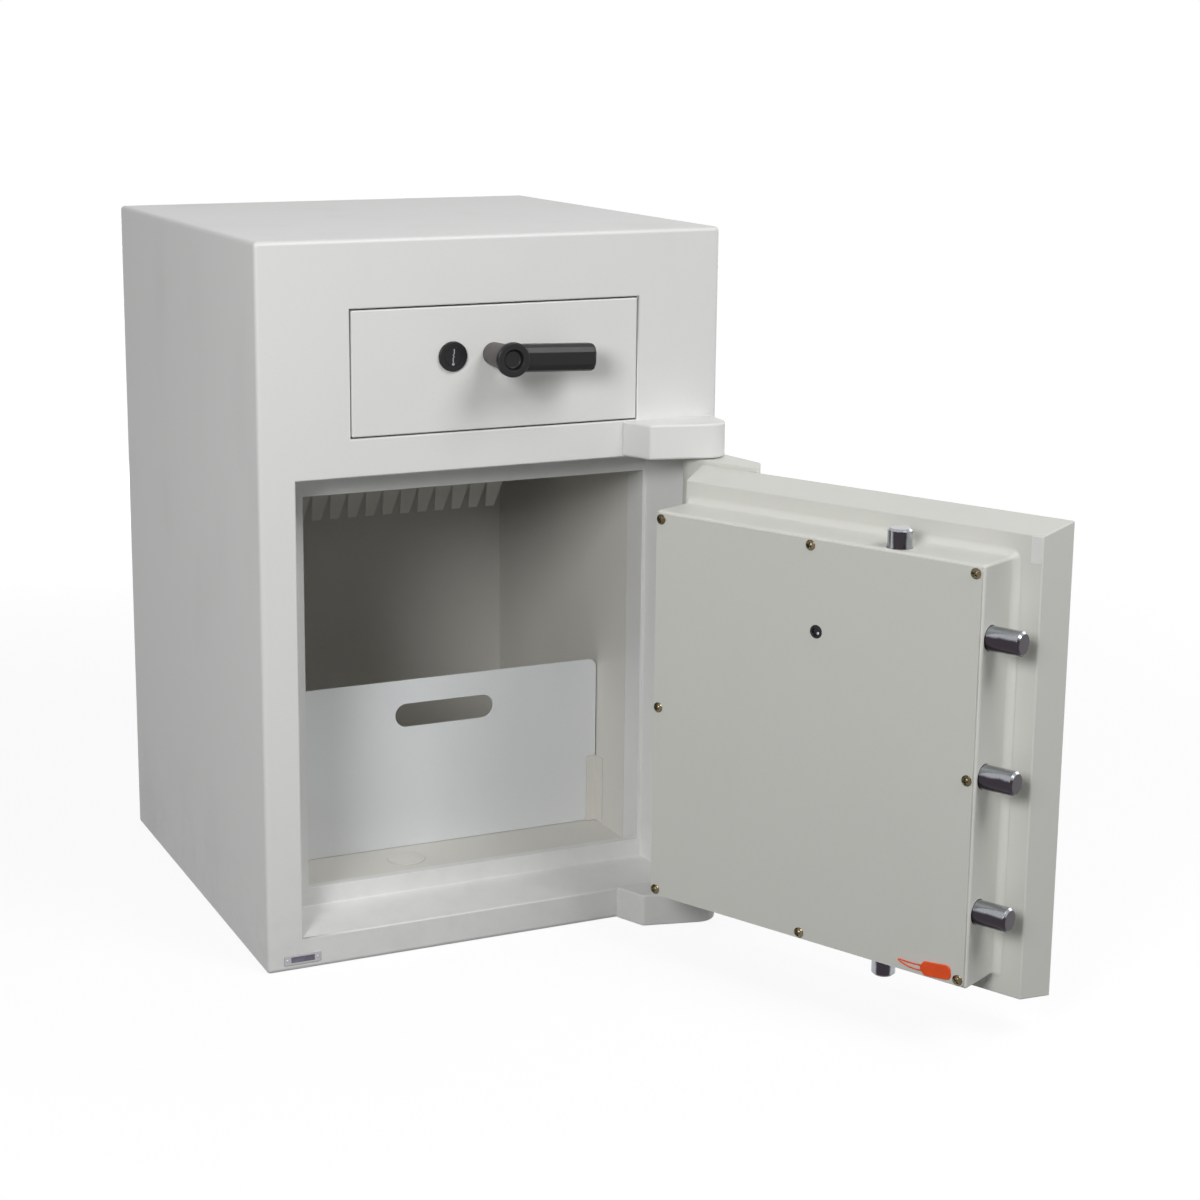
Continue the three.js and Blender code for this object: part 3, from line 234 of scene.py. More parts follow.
def on_plane(flat, depth, axis=1):
    """Flat points put into space: across the Y axis as (a, depth, b), or across Z as (a, b, depth)."""
    flat = np.asarray(flat, float)
    columns = [flat[..., 0], flat[..., 1]]
    columns.insert(axis, np.broadcast_to(depth, flat.shape[:-1]))
    return np.stack(columns, -1)


# Surfaces

def grid_faces(rows, columns, closed):
    """Four-cornered faces of a grid of points whose rows are rings: each joins a point, its next
    ones and the one across. If the grid is closed, its last row joins the first.
    """
    r, c = np.meshgrid(np.arange(rows if closed else rows - 1), np.arange(columns), indexing="ij")
    here, above, on = r * columns, (r + 1) % rows * columns, (c + 1) % columns
    return np.stack([here + c, here + on, above + on, above + c], -1).reshape(-1, 4)


def loft(sections, closed=False):
    """A skin over a stack of closed sections of equal length, capped at both ends unless closed."""
    sections = np.asarray(sections, float)
    rows, columns = sections.shape[:2]
    faces = grid_faces(rows, columns, closed).tolist()
    if not closed:
        faces.append(list(range(columns))[::-1])
        faces.append(list(range((rows - 1) * columns, rows * columns)))
    return sections.reshape(-1, 3), faces


def prism(outline, low, high, axis=1):
    """An outline carried straight from the low to the high level of an axis."""
    return loft([on_plane(outline, low, axis), on_plane(outline, high, axis)])


def lathe(profile, centre, axis=1, sides=64, closed=False):
    """A turned skin: each profile point (radius, along) goes round the axis as radius times (cos, sin).

    The axis runs through the centre, and a closed profile gives a ring.
    """
    profile = np.asarray(profile, float)
    rows = on_plane(profile[:, :1, None] * circle(sides), profile[:, 1:], axis)
    points, faces = loft(rows, closed)
    return points + np.where(np.arange(3) == axis, 0, centre), faces


def cell_solid(breaks, holes=()):
    """The skin of an uneven box grid, less the cells whose middle lies in one of the holes.

    Corners are where the break planes cross, and each face lies between a filled and an empty
    cell, turned so that it points at the empty one. A hole is a low and a high corner.
    """
    breaks = [np.asarray(values, float) for values in breaks]
    middles = [(values[1:] + values[:-1]) / 2 for values in breaks]
    solid = np.ones([len(values) for values in middles], int)
    for hole in holes:
        x, y, z = ((m > low) & (m < high) for m, low, high in zip(middles, *hole))
        solid[x[:, None, None] & y[:, None] & z] = 0
    solid = np.pad(solid, 1)
    points = np.stack(np.meshgrid(*breaks, indexing="ij"), -1).reshape(-1, 3)
    number = np.arange(len(points)).reshape([len(values) for values in breaks])
    quads = []
    for axis in range(3):
        inside = [slice(1, -1)] * 3
        inside[axis] = slice(None)
        step = np.diff(solid, axis=axis)[tuple(inside)]
        place = np.argwhere(step)
        u, v = np.eye(3, dtype=int)[[(axis + 1) % 3, (axis + 2) % 3]]
        corners = [place, place + u, place + u + v, place + v]
        quad = np.stack([number[tuple(c.T)] for c in corners], -1)
        begins = step[tuple(place.T)] > 0
        quad[begins] = quad[begins][:, ::-1]
        quads.append(quad)
    used, faces = np.unique(np.concatenate(quads), return_inverse=True)
    return points[used], faces.reshape(-1, 4).tolist()


def joined(*skins):
    """Several skins as one mesh: the corner numbers of each follow on from the last."""
    points, faces, count = [], [], 0
    for skin_points, skin_faces in skins:
        points.append(skin_points)
        faces += [[corner + count for corner in face] for face in skin_faces]
        count += len(skin_points)
    return np.concatenate(points), faces


# Pieces

def skin_mesh(name, points, faces):
    """A mesh from a skin: corners at one spot are merged and all faces turned outwards."""
    mesh = bpy.data.meshes.new(name)
    mesh.from_pydata(points.tolist(), [], faces)
    shape = bmesh.new()
    shape.from_mesh(mesh)
    bmesh.ops.remove_doubles(shape, verts=shape.verts, dist=MM / 1000)
    bmesh.ops.recalc_face_normals(shape, faces=shape.faces)
    shape.to_mesh(mesh)
    shape.free()
    return mesh


def make_piece(name, skin, finish_name, body, slot, *replaces, smooth=SHARP):
    """A finished object from a skin, smooth up to an angle and swung open if its body hangs on the door."""
    points, faces = skin
    mesh = skin_mesh(name, swung(points) if body in ON_DOOR else points, faces)
    mesh.materials.append(finish(finish_name))
    mesh.shade_smooth()
    mesh.set_sharp_from_angle(angle=math.radians(smooth))
    piece = bpy.data.objects.new(name, mesh)
    bpy.context.scene.collection.objects.link(piece)
    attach(piece, body)
    if replaces:
        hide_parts(*replaces)
    even = piece.modifiers.new("Even shading", "WEIGHTED_NORMAL")
    even.keep_sharp = True
    return piece


def soften(piece, width, segments=3):
    """Rounds the piece's sharp edges by the width, before its shading is evened."""
    bevel = piece.modifiers.new("Edges", "BEVEL")
    piece.modifiers.move(len(piece.modifiers) - 1, 0)
    bevel.width = width
    bevel.segments = segments
    bevel.limit_method = "ANGLE"
    bevel.angle_limit = math.radians(SHARP)
    return bevel


def soften_by_place(piece, width, share, segments):
    """Rounds each sharp edge by the width times a share that depends on the edge's middle."""
    mesh = piece.data
    pairs = np.empty(len(mesh.edges) * 2, np.int32)
    mesh.edges.foreach_get("vertices", pairs)
    middles = corner_points(mesh)[pairs.reshape(-1, 2)].mean(1)
    sharp = np.zeros(len(mesh.edges), bool)
    mesh.attributes["sharp_edge"].data.foreach_get("value", sharp)
    weights = mesh.attributes.new("bevel_weight_edge", "FLOAT", "EDGE")
    weights.data.foreach_set("value", (share(middles) * sharp).astype(np.float32))
    soften(piece, width, segments).limit_method = "WEIGHT"


def finished_mesh(thing):
    """A new plain mesh of an object with its modifiers, or of a text."""
    bpy.context.view_layer.update()
    evaluated = thing.evaluated_get(bpy.context.evaluated_depsgraph_get())
    return bpy.data.meshes.new_from_object(evaluated)


def cut(piece, *skins):
    """Takes closed skins out of a piece's plain mesh, before its edges are rounded."""
    even = piece.modifiers["Even shading"]
    even.show_viewport = False
    for skin in skins:
        mesh = skin_mesh("cutter", *skin)
        cutter = bpy.data.objects.new("cutter", mesh)
        bpy.context.scene.collection.objects.link(cutter)
        boolean = piece.modifiers.new("Cut", "BOOLEAN")
        boolean.operation = "DIFFERENCE"
        boolean.solver = "EXACT"
        boolean.object = cutter
        old, result = piece.data, finished_mesh(piece)
        piece.modifiers.remove(boolean)
        piece.data = result
        result.name = piece.name
        bpy.data.meshes.remove(old)
        bpy.data.objects.remove(cutter)
        bpy.data.meshes.remove(mesh)
    piece.data.set_sharp_from_angle(angle=math.radians(SHARP))
    even.show_viewport = True


# Shader maths

class Wire:
    """A shader socket that can be added to, taken from and multiplied as a number."""

    def __init__(self, recipe, socket):
        self.recipe = recipe
        self.socket = socket

    def maths(self, operation, other):
        return self.recipe.node("ShaderNodeMath", {"operation": operation}, {0: self, 1: other})

    def __add__(self, other):
        return self.maths("ADD", other)

    def __sub__(self, other):
        return self.maths("SUBTRACT", other)

    def __rsub__(self, other):
        return self.recipe.node("ShaderNodeMath", {"operation": "SUBTRACT"}, {0: other, 1: self})

    def __mul__(self, other):
        return self.maths("MULTIPLY", other)

    __radd__ = __add__


class Nodes:
    """The node tree of a material or world, cleared and then written through one method."""

    def __init__(self, owner):
        owner.use_nodes = True
        self.tree = owner.node_tree
        self.tree.nodes.clear()

    def node(self, kind, settings, sockets, output=0):
        """Adds a node: its settings first, then a value or link for each socket; gives one output."""
        node = self.tree.nodes.new(kind)
        for name, value in settings.items():
            setattr(node, name, value)
        for name, value in sockets.items():
            if isinstance(value, Wire):
                self.tree.links.new(value.socket, node.inputs[name])
            else:
                node.inputs[name].default_value = value
        return Wire(self, node.outputs[output]) if node.outputs else node

    def seen(self):
        """1 for a ray from the camera, off a glossy surface or through glass, and 0 for the rest."""
        rays = [
            self.node("ShaderNodeLightPath", {}, {}, f"Is {kind} Ray")
            for kind in ("Camera", "Glossy", "Transmission")
        ]
        return sum(rays[1:], rays[0]).maths("MINIMUM", 1.0)


class Recipe(Nodes):
    """One material: a principled shader, with its colour and object coordinates at hand."""

    def __init__(self, name, colour, roughness, metallic=0.0, **sockets):
        self.material = bpy.data.materials.new(name)
        super().__init__(self.material)
        self.colour = linear(colour)
        plain = {"Base Color": self.colour, "Roughness": roughness, "Metallic": metallic, **sockets}
        self.surface = self.node("ShaderNodeBsdfPrincipled", {}, plain)
        self.output = self.node("ShaderNodeOutputMaterial", {}, {"Surface": self.surface})
        self.place = self.node("ShaderNodeTexCoord", {}, {}, "Object")

    def set(self, socket, wire):
        """Feeds a socket of the shader."""
        self.tree.links.new(wire.socket, self.surface.socket.node.inputs[socket])

    def mapped(self, scale=(1, 1, 1), angle=0.0):
        """The object's coordinates turned about the upright axis, then stretched."""
        turned = self.node("ShaderNodeMapping", {}, {"Vector": self.place, "Rotation": (0, 0, angle)})
        return self.node("ShaderNodeMapping", {}, {"Vector": turned, "Scale": scale})

    def noise(self, scale, detail=2.0, rough=0.5, vector=None):
        """Cloudy noise from 0 to 1."""
        sockets = {"Vector": vector or self.place, "Scale": scale, "Detail": detail, "Roughness": rough}
        return self.node("ShaderNodeTexNoise", {}, sockets, "Fac")

    def between(self, wire, low, high):
        """A smooth step: 0 where the wire is low and 1 where it is high."""
        sockets = {"Value": wire, "From Min": low, "From Max": high}
        return self.node("ShaderNodeMapRange", {"interpolation_type": "SMOOTHSTEP"}, sockets, "Result")

    def mix(self, factor, first, second, blend="MIX"):
        """The first colour where the factor is 0, and the second blended with it where it is 1."""
        settings = {"data_type": "RGBA", "blend_type": blend}
        return self.node("ShaderNodeMix", settings, {0: factor, 6: first, 7: second}, 2)

    def shade(self, factor, colour=None):
        """Feeds the base colour with a colour made darker or lighter by a factor about 1."""
        grey = self.node("ShaderNodeCombineColor", {}, {0: factor, 1: factor, 2: factor})
        self.set("Base Color", self.mix(1.0, colour or self.colour, grey, "MULTIPLY"))

    def towards(self, normal, direction):
        """How far a normal points in a direction, from -1 to 1."""
        return self.node(
            "ShaderNodeVectorMath", {"operation": "DOT_PRODUCT"}, {0: normal, 1: direction}, "Value",
        )

    def bump(self, height, distance, strength):
        """Feeds the normal with small relief: the height times the distance."""
        sockets = {"Height": height, "Distance": distance, "Strength": strength}
        self.set("Normal", self.node("ShaderNodeBump", {}, sockets))

    def edges(self, radius):
        """1 where the skin turns sharply within the radius, such as on an outer edge."""
        bevel = self.node("ShaderNodeBevel", {"samples": 6}, {"Radius": radius})
        plain = self.node("ShaderNodeNewGeometry", {}, {}, "Normal")
        return self.between(1 - self.towards(bevel, plain), 0.02, 0.25)


def linear(colour):
    """A display colour of three shares as linear light, with full alpha."""
    c = np.asarray(colour, float)[:3]
    light = np.where(c <= 0.04045, c / 12.92, ((c + 0.055) / 1.055) ** 2.4)
    return (*light.tolist(), 1.0)


# Finishes

def enamel(name, colour, roughness=0.42, peel=1.0, low_darkening=0.0):
    """Sprayed enamel: a fine orange peel, faint clouds in its tone, and rubbed, duller patches."""
    recipe = Recipe(name, colour, roughness, **{"Coat Weight": 0.12, "Coat Roughness": 0.25})
    broad = recipe.noise(3.2, 3.0, 0.55)
    grain = recipe.noise(420.0, 2.0, 0.6)
    fleck = recipe.between(recipe.noise(900.0, 1.0), 0.70, 0.78)
    rubbed_and_reflection = recipe.between(recipe.noise(9.0, 4.0, 0.62, recipe.mapped((1, 1, 0.35))), 0.52, 0.72)
    tone = 0.968 + broad * 0.045 + grain * 0.034 - fleck * 0.05 - rubbed_and_reflection * 0.012
    # Patchy darkening within 0.16 m of the floor, by the given share.
    if low_darkening:
        height = recipe.node("ShaderNodeSeparateXYZ", {}, {"Vector": recipe.place}, "Z")
        low = recipe.between(height, 0.16, 0.0)
        patches = recipe.between(recipe.noise(34.0, 4.0, 0.6), 0.40, 0.75)
        tone = tone - low * patches * low_darkening
    recipe.shade(tone)
    recipe.set("Roughness", roughness - 0.03 + broad * 0.05 + rubbed_and_reflection * 0.07)
    peel_height = recipe.noise(260.0, 1.0, 0.4) * 0.7 + grain * 0.3
    recipe.bump(peel_height, 0.12 * MM * peel, 0.55)
    return recipe


def plated(name, colour, roughness, tint=None, stretch=(1, 1, 1)):
    """Plated steel: fine brushing stretched one way, and soft clouds in the plating."""
    recipe = Recipe(name, colour, roughness, 1.0)
    brushed = recipe.noise(220.0, 3.0, 0.65, recipe.mapped(stretch))
    clouds = recipe.noise(26.0, 3.0, 0.6)
    tone = 0.84 + brushed * 0.16 + clouds * 0.16
    base = recipe.colour
    if tint:
        base = recipe.mix(recipe.between(clouds, 0.38, 0.68), recipe.colour, linear(tint))
    recipe.shade(tone, base)
    recipe.set("Roughness", roughness - 0.06 + brushed * 0.1 + clouds * 0.06)
    recipe.bump(brushed, 0.04 * MM, 0.5)
    return recipe


def bright_plating(name, dark, pale, upright=False):
    """Hard chrome on the bolts, with painted reflections: a dark colour that stands in for the reflection
    of a dark room, and pale bands painted as the reflection that the door around them would give.

    The painted reflection is pale where the skin faces up or nearly straight down and, on an upright
    bolt, to either side. Fine scratched lines run round it.
    """
    recipe = Recipe(name, dark, 0.14, 1.0, **{"Coat Weight": 0.3, "Coat Roughness": 0.08})
    normal = recipe.node("ShaderNodeNewGeometry", {}, {}, "Normal")
    upward = recipe.node("ShaderNodeSeparateXYZ", {}, {"Vector": normal}, "Z")
    lines = recipe.noise(900.0, 2.0, 0.6, recipe.mapped((1, 0.03, 1), -DOOR_ANGLE))
    smears = recipe.noise(70.0, 3.0, 0.6)
    wander = (smears - 0.5) * 0.3
    height = upward + wander
    # Painted reflection: the pale bands, whose edges wander with the smears.
    bands = recipe.between(height, 0.30, 0.52) + recipe.between(height, -0.72, -0.88)
    if upright:
        side = recipe.towards(normal, ACROSS) + wander
        bands = bands + recipe.between(side, 0.28, 0.5) + recipe.between(side, -0.6, -0.8)
    recipe.shade(0.78 + lines * 0.44, recipe.mix(bands, recipe.colour, linear(pale)))
    recipe.set("Roughness", 0.08 + lines * 0.06 + recipe.between(smears, 0.45, 0.8) * 0.08)
    recipe.bump(lines, 0.01 * MM, 0.4)
    return recipe


def moulding(name, colour, roughness, texture=1.0):
    """Moulded plastic: a fine spark-eroded texture, worn a little smoother and greyer on its edges."""
    recipe = Recipe(name, colour, roughness, **{"Specular IOR Level": 0.32})
    fine = recipe.noise(1500.0, 2.0, 0.6)
    worn = recipe.edges(0.9 * MM)
    hand = recipe.between(recipe.noise(60.0, 3.0, 0.6), 0.45, 0.75)
    recipe.shade(0.9 + fine * 0.2 + worn * 0.7 + hand * 0.15)
    recipe.set("Roughness", roughness - 0.03 + fine * 0.08 - worn * 0.08 + hand * 0.04)
    recipe.bump(fine, 0.03 * MM * texture, 0.6)
    return recipe


def cast_filling(name, colour):
    """Cast barrier filling: sand and small stones in pale cement."""
    recipe = Recipe(name, colour, 0.92)
    stones = recipe.node("ShaderNodeTexVoronoi", {}, {"Vector": recipe.place, "Scale": 110.0}, "Distance")
    sand = recipe.noise(700.0, 3.0, 0.7)
    recipe.shade(0.72 + stones * 0.5 + sand * 0.2)
    recipe.bump(stones + sand * 0.3, 0.6 * MM, 0.7)
    return recipe


# Sizes and colours that a user would change

def length(name, default, description):
    """A length property in metres."""
    return FloatProperty(
        name=name, description=description, default=default, min=0.0, unit="LENGTH", precision=5,
    )


def tint(name, default, description):
    """A display colour property."""
    return FloatVectorProperty(
        name=name, description=description, default=default, subtype="COLOR_GAMMA", min=0.0, max=1.0,
    )


def level(name, default, description):
    """A strength of light as a share of full daylight on a white sheet."""
    return FloatProperty(name=name, description=description, default=default, min=0.0)


class SafeBodySizes(bpy.types.PropertyGroup):
    """Sizes of the body's edges and openings."""

    edge: length("Outer edge", 4 * MM, "Radius of the casing's outer edges")
    mouth: length("Mouth edge", 1.4 * MM, "Radius round the doorway and the drawer's mouth")
    block_edge: length("Hinge block edge", 2.2 * MM, "Radius of the hinge blocks' edges")
    cap_crown: length("Cap crown", 1.4 * MM, "Rise of the anchor hole's cap over its rim")


class SafeDoorSizes(bpy.types.PropertyGroup):
    """Sizes of the door's edges and fittings."""

    slab_edge: length("Slab edge", 1.2 * MM, "Radius of the slab's edges")
    case_edge: length("Bolt box edge", 2.6 * MM, "Radius of the bolt box's outer edge")
    case_weld: length("Bolt box fillet", 7 * MM, "Size of the fillet between bolt box and slab")
    cover_edge: length("Cover edge", 0.5 * MM, "Radius of the cover's edge")
    bolt_edge: length("Bolt edge", 0.35 * MM, "Rounding at each end of a bolt's chamfer")


class SafeDrawerSizes(bpy.types.PropertyGroup):
    """Sizes of the drawer's edges and fittings."""

    front_edge: length("Front edge", 1.1 * MM, "Radius of the drawer front's edges")
    lever_edge: length("Lever edge", 1.6 * MM, "Radius of the lever's edges")
    key_width: length("Key slot", 0.9 * MM, "Width of the keyway")


class SafeColours(bpy.types.PropertyGroup):
    """Colours of the finishes."""

    enamel: tint("Enamel", (0.885, 0.885, 0.88), "Body")
    # Partly painted shade: the door's enamel is kept darker than the body's to stand in for the dimmer
    # light on the door, and it has a yellower tint.
    door: tint("Door enamel", (0.845, 0.847, 0.822), "Door and bolt box")
    lining: tint("Lining", (0.845, 0.838, 0.815), "Compartment walls")
    plate: tint("Plate", (0.87, 0.88, 0.885), "Retaining plate")
    plastic: tint("Handles", (0.062, 0.062, 0.072), "Levers, roses and dial")
    sleeve: tint("Sleeves", (0.36, 0.345, 0.34), "Sleeves round the levers' necks")
    seal: tint("Seal", (0.93, 0.33, 0.12), "Seal tag and its strap")
    floor: tint("Floor", (0.38, 0.38, 0.38), "Studio floor")


class SafeStage(bpy.types.PropertyGroup):
    """Light of the studio."""

    ambient: level("Ambient", 0.13, "Light from all round")
    floor_glow: level("Floor glow", 0.9, "White that the floor adds where the camera sees it")
    key: level("Key lamp", 0.53, "Share of the lamp at the left")
    high: level("High lamp", 0.43, "Share of the high lamp at the right")
    right: level("Right lamp", 0.22, "Share of the lamp far to the right")
    back: level("Back lamp", 0.28, "Share of the lamp behind")
    key_width: length("Key width", 0.85, "Width of the round lamp at the left")
    back_width: length("Back width", 0.6, "Width of the lamp behind, which stays below the top")
    fill_width: length("Fill width", 1.7, "Width of the round lamps at the right")


FINISHES = {}


def finish(name):
    """A finish by name, made once from the scene's colours."""
    colours = bpy.context.scene.safe_colours
    # The bolts' dark colour is painted shade standing in for a dark room's reflection; the two pale colours
    # are painted reflections of the door around them.
    bolt, rubbed_and_reflection, reflection_band = (0.19, 0.165, 0.195), (0.60, 0.61, 0.63), (0.64, 0.65, 0.67)
    along_x, along_y = (0.1, 1, 1), (1, 0.05, 1)
    makers = {
        "paint": lambda: enamel("enamel", colours.enamel, low_darkening=0.06),
        # The door's enamel: darker than the body's, as painted shade.
        "door_paint": lambda: enamel("door_enamel", colours.door, peel=0.9),
        "lining_paint": lambda: enamel("lining_enamel", colours.lining, 0.5, peel=0.7),
        "plate_paint": lambda: enamel("plate_enamel", colours.plate, 0.36, peel=0.6),
        "filling": lambda: cast_filling("cast_filling", (0.68, 0.67, 0.65)),
        "steel": lambda: plated("zinc_plate", (0.66, 0.67, 0.69), 0.38, stretch=along_y),
        "chrome": lambda: bright_plating("bright_plate", bolt, rubbed_and_reflection),
        "upright_chrome": lambda: bright_plating("upright_plate", bolt, reflection_band, True),
        "brass": lambda: plated("dull_brass", (0.46, 0.42, 0.33), 0.16, (0.30, 0.26, 0.19)),
        "rating_plate": lambda: plated("rating_plate", (0.66, 0.655, 0.67), 0.42, stretch=along_x),
        "dark_print": lambda: plated("dark_print", (0.36, 0.345, 0.39), 0.55, (0.46, 0.44, 0.49), along_x),
        "black_plastic": lambda: moulding("black_moulding", colours.plastic, 0.34),
        "grey_plastic": lambda: moulding("sleeve_moulding", colours.sleeve, 0.5),
        "seal_plastic": lambda: moulding("orange_moulding", colours.seal, 0.38, 0.5),
    }
    if name not in FINISHES:
        FINISHES[name] = makers[name]().material
    return FINISHES[name]


# The body

def reveal(depth):
    """The doorway's low and high corners at a depth, drawn in by the slope times the depth."""
    return DOORWAY + SPLAY * (depth / SPLAY_DEPTH)


def slid(points, rows, start, end):
    """Moves the chosen points that lie on the edges of one opening to those of another."""
    for axis in (0, 2):
        for old, new in zip(start[:, axis], end[:, axis]):
            points[rows & np.isclose(points[:, axis], old, atol=MM / 100), axis] = new
    return points


def casing_skin():
    """The casing as cells: a wall all round a hollow, open at the doorway and the drawer's mouth.

    The doorway's edge at the back of the wall is drawn in along the reveal's slope.
    """
    low, high = BODY
    mouth = grown(span("drawer_front"), MOUTH_GAP)
    breaks = [
        np.sort([low[axis], low[axis] + WALL, high[axis] - WALL, high[axis], *edges])
        for axis, edges in enumerate(([*DOORWAY[:, 0], *mouth[:, 0]], [], [*DOORWAY[:, 2], *mouth[:, 2]]))
    ]
    openings = [((a[0], -FAR, a[2]), (b[0], FRONT + WALL, b[2])) for a, b in (DOORWAY, mouth)]
    points, faces = cell_solid(breaks, [grown(BODY, -WALL), *openings])
    rows = np.isclose(points[:, 1], FRONT + WALL)
    for axis in (0, 2):
        rows &= (points[:, axis] > DOORWAY[0][axis] - MM) & (points[:, axis] < DOORWAY[1][axis] + MM)
    return slid(points, rows, DOORWAY, reveal(WALL)), faces


def frame_skin():
    """The door frame as cells: reveal, gripping ring, pocket for the bolts and the lining's mouth."""
    low, high = span("door_frame")
    splay = reveal(SPLAY_DEPTH)
    lining = grown(span("inner_liner"), -FRAME["sheet"])
    ring = np.array([
        (splay[0][0] + FRAME["ring_left"], 0, DOORWAY[0][2] + FRAME["ring_ends"]),
        (splay[1][0] - FRAME["ring_hinge"], 0, DOORWAY[1][2] - FRAME["ring_ends"]),
    ])
    pocket = np.array([
        (low[0] + FRAME["sheet"], 0, ring[0][2] - FRAME["pocket_ends"]),
        (lining[1][0], 0, ring[1][2] + FRAME["pocket_ends"]),
    ])
    ring_front = FRONT + SPLAY_DEPTH
    ring_back = ring_front + FRAME["ring"]
    pocket_back = high[1] - FRAME["back"]
    openings = (
        (splay, -FAR, ring_front), (ring, ring_front, ring_back),
        (pocket, ring_back, pocket_back), (lining, ring_back, FAR),
    )
    edges = np.concatenate([(low, high), *(opening for opening, _, _ in openings)])
    xs, zs = (np.unique(np.round(edges[:, axis], 6)) for axis in (0, 2))
    ys = [FRONT + WALL, ring_front, ring_back, pocket_back, high[1]]
    holes = [((a[0], near, a[2]), (b[0], far, b[2])) for (a, b), near, far in openings]
    points, faces = cell_solid((xs, ys, zs), holes)
    in_front = np.isclose(points[:, 1], FRONT + WALL)
    return slid(points, in_front, splay, reveal(WALL)), faces


class SAFE_OT_casing(bpy.types.Operator):
    """Make the enamelled casing with its doorway and drawer mouth"""

    bl_idname = "safe.casing"
    bl_label = "Casing"

    def execute(self, context):
        sizes = context.scene.safe_body
        piece = make_piece("casing_skin", casing_skin(), "paint", "root", "paint", "outer_casing")

        def share(middles):
            outer = np.isclose(middles[:, None], BODY).any(1).sum(1)
            in_front = np.isclose(middles[:, 1], FRONT)
            return np.where(outer >= 2, 1.0, np.where(in_front, sizes.mouth / sizes.edge, 0.0))

        soften_by_place(piece, sizes.edge, share, 4)
        return {"FINISHED"}


class SAFE_OT_frame(bpy.types.Operator):
    """Make the splayed door frame with the ring that the bolts grip"""

    bl_idname = "safe.frame"
    bl_label = "Door frame"

    def execute(self, context):
        piece = make_piece("frame_skin", frame_skin(), "paint", "root", "paint", "door_frame")
        soften_by_place(piece, FRAME["round"], lambda middles: middles[:, 1] > FRONT + WALL + MM, 2)
        return {"FINISHED"}


class SAFE_OT_compartment(bpy.types.Operator):
    """Paint the lined compartment, its guides and baffle, and make the anchor hole's cap"""

    bl_idname = "safe.compartment"
    bl_label = "Compartment"

    def execute(self, context):
        dress("lining_paint", "inner_liner", "anti_fish_comb", "left_plate_guide", "right_plate_guide")
        low, high = span("anchor_hole_cap")
        radius = (high[0] - low[0]) / 2
        stem, flange, corner, tip = 9 * MM, 2.9 * MM, 0.6 * MM, 0.4 * MM
        crown = context.scene.safe_body.cap_crown
        rim = high[2] - crown
        rise = np.linspace(0, 1, 8)
        dome = np.stack([radius * 0.92 * (1 - rise), rim + crown * np.sin(rise * math.pi / 2)], 1)
        dome[-1, 0] = tip
        edge = rounded([(radius, low[2] + flange), (radius, rim), dome[0]], (0, corner, 0), closed=False)
        profile = np.concatenate([[(stem, low[2]), (stem, low[2] + flange)], edge, dome[1:]])
        skin = lathe(profile, (low + high) / 2, axis=2)
        make_piece("anchor_cap", skin, "lining_paint", "root", "plate_paint", "anchor_hole_cap")
        return {"FINISHED"}


def dress(finish_name, *names):
    """Gives CAD nodes their finish."""
    for name in names:
        materials = frame["nodes"][name].data.materials
        materials.clear()
        materials.append(finish(finish_name))


def ray_radius(outline, angles):
    """Distance from the origin to an outline round it, at each angle.

    A ray from the origin meets the edge between points P and Q where their cross product
    over that of the ray's direction with Q less P gives the distance.
    """
    turn = np.arctan2(outline[:, 1], outline[:, 0])
    order = np.argsort(turn)
    points, turn = outline[order], turn[order]
    after = np.searchsorted(turn, angles) % len(turn)
    p, q = points[after - 1], points[after]
    ray, edge = rays(angles), q - p
    reach, share = (way[:, 0] * edge[:, 1] - way[:, 1] * edge[:, 0] for way in (p, ray))
    return reach / share


def slotted_sheet(outer, inner, centre, near, far):
    """A flat sheet with one hole: a four-sided section carried round the centre.

    The section joins the outer edge and the hole's edge at each angle, in front and behind.
    """
    outlines = [outline - centre for outline in (outer, inner)]
    corners = np.concatenate(outlines)
    angles = np.unique(np.round(np.arctan2(corners[:, 1], corners[:, 0]), 9))
    rim, hole = (centre + rays(angles) * ray_radius(outline, angles)[:, None] for outline in outlines)
    rows = [on_plane(rim, near), on_plane(rim, far), on_plane(hole, far), on_plane(hole, near)]
    return loft(rows, closed=True)


class SAFE_OT_retaining_plate(bpy.types.Operator):
    """Make the retaining plate with its hand slot"""

    bl_idname = "safe.retaining_plate"
    bl_label = "Retaining plate"

    def execute(self, context):
        low, high = span("retaining_plate")
        slot = np.array([LEFT + 250 * MM, low[2] + 143 * MM])
        slot_length, slot_height = 110 * MM, 25 * MM
        corner = 9 * MM
        corners = [(low[0], low[2]), (high[0], low[2]), (high[0], high[2]), (low[0], high[2])]
        outer = rounded(corners, (0, 0, corner, corner), 8)
        inner = slot_outline(slot, slot_length, slot_height)
        skin = slotted_sheet(outer, inner, slot, low[1], high[1])
        piece = make_piece("slotted_plate", skin, "plate_paint", "plate", "plate_paint", "retaining_plate")
        soften(piece, 0.5 * MM, 2)
        return {"FINISHED"}


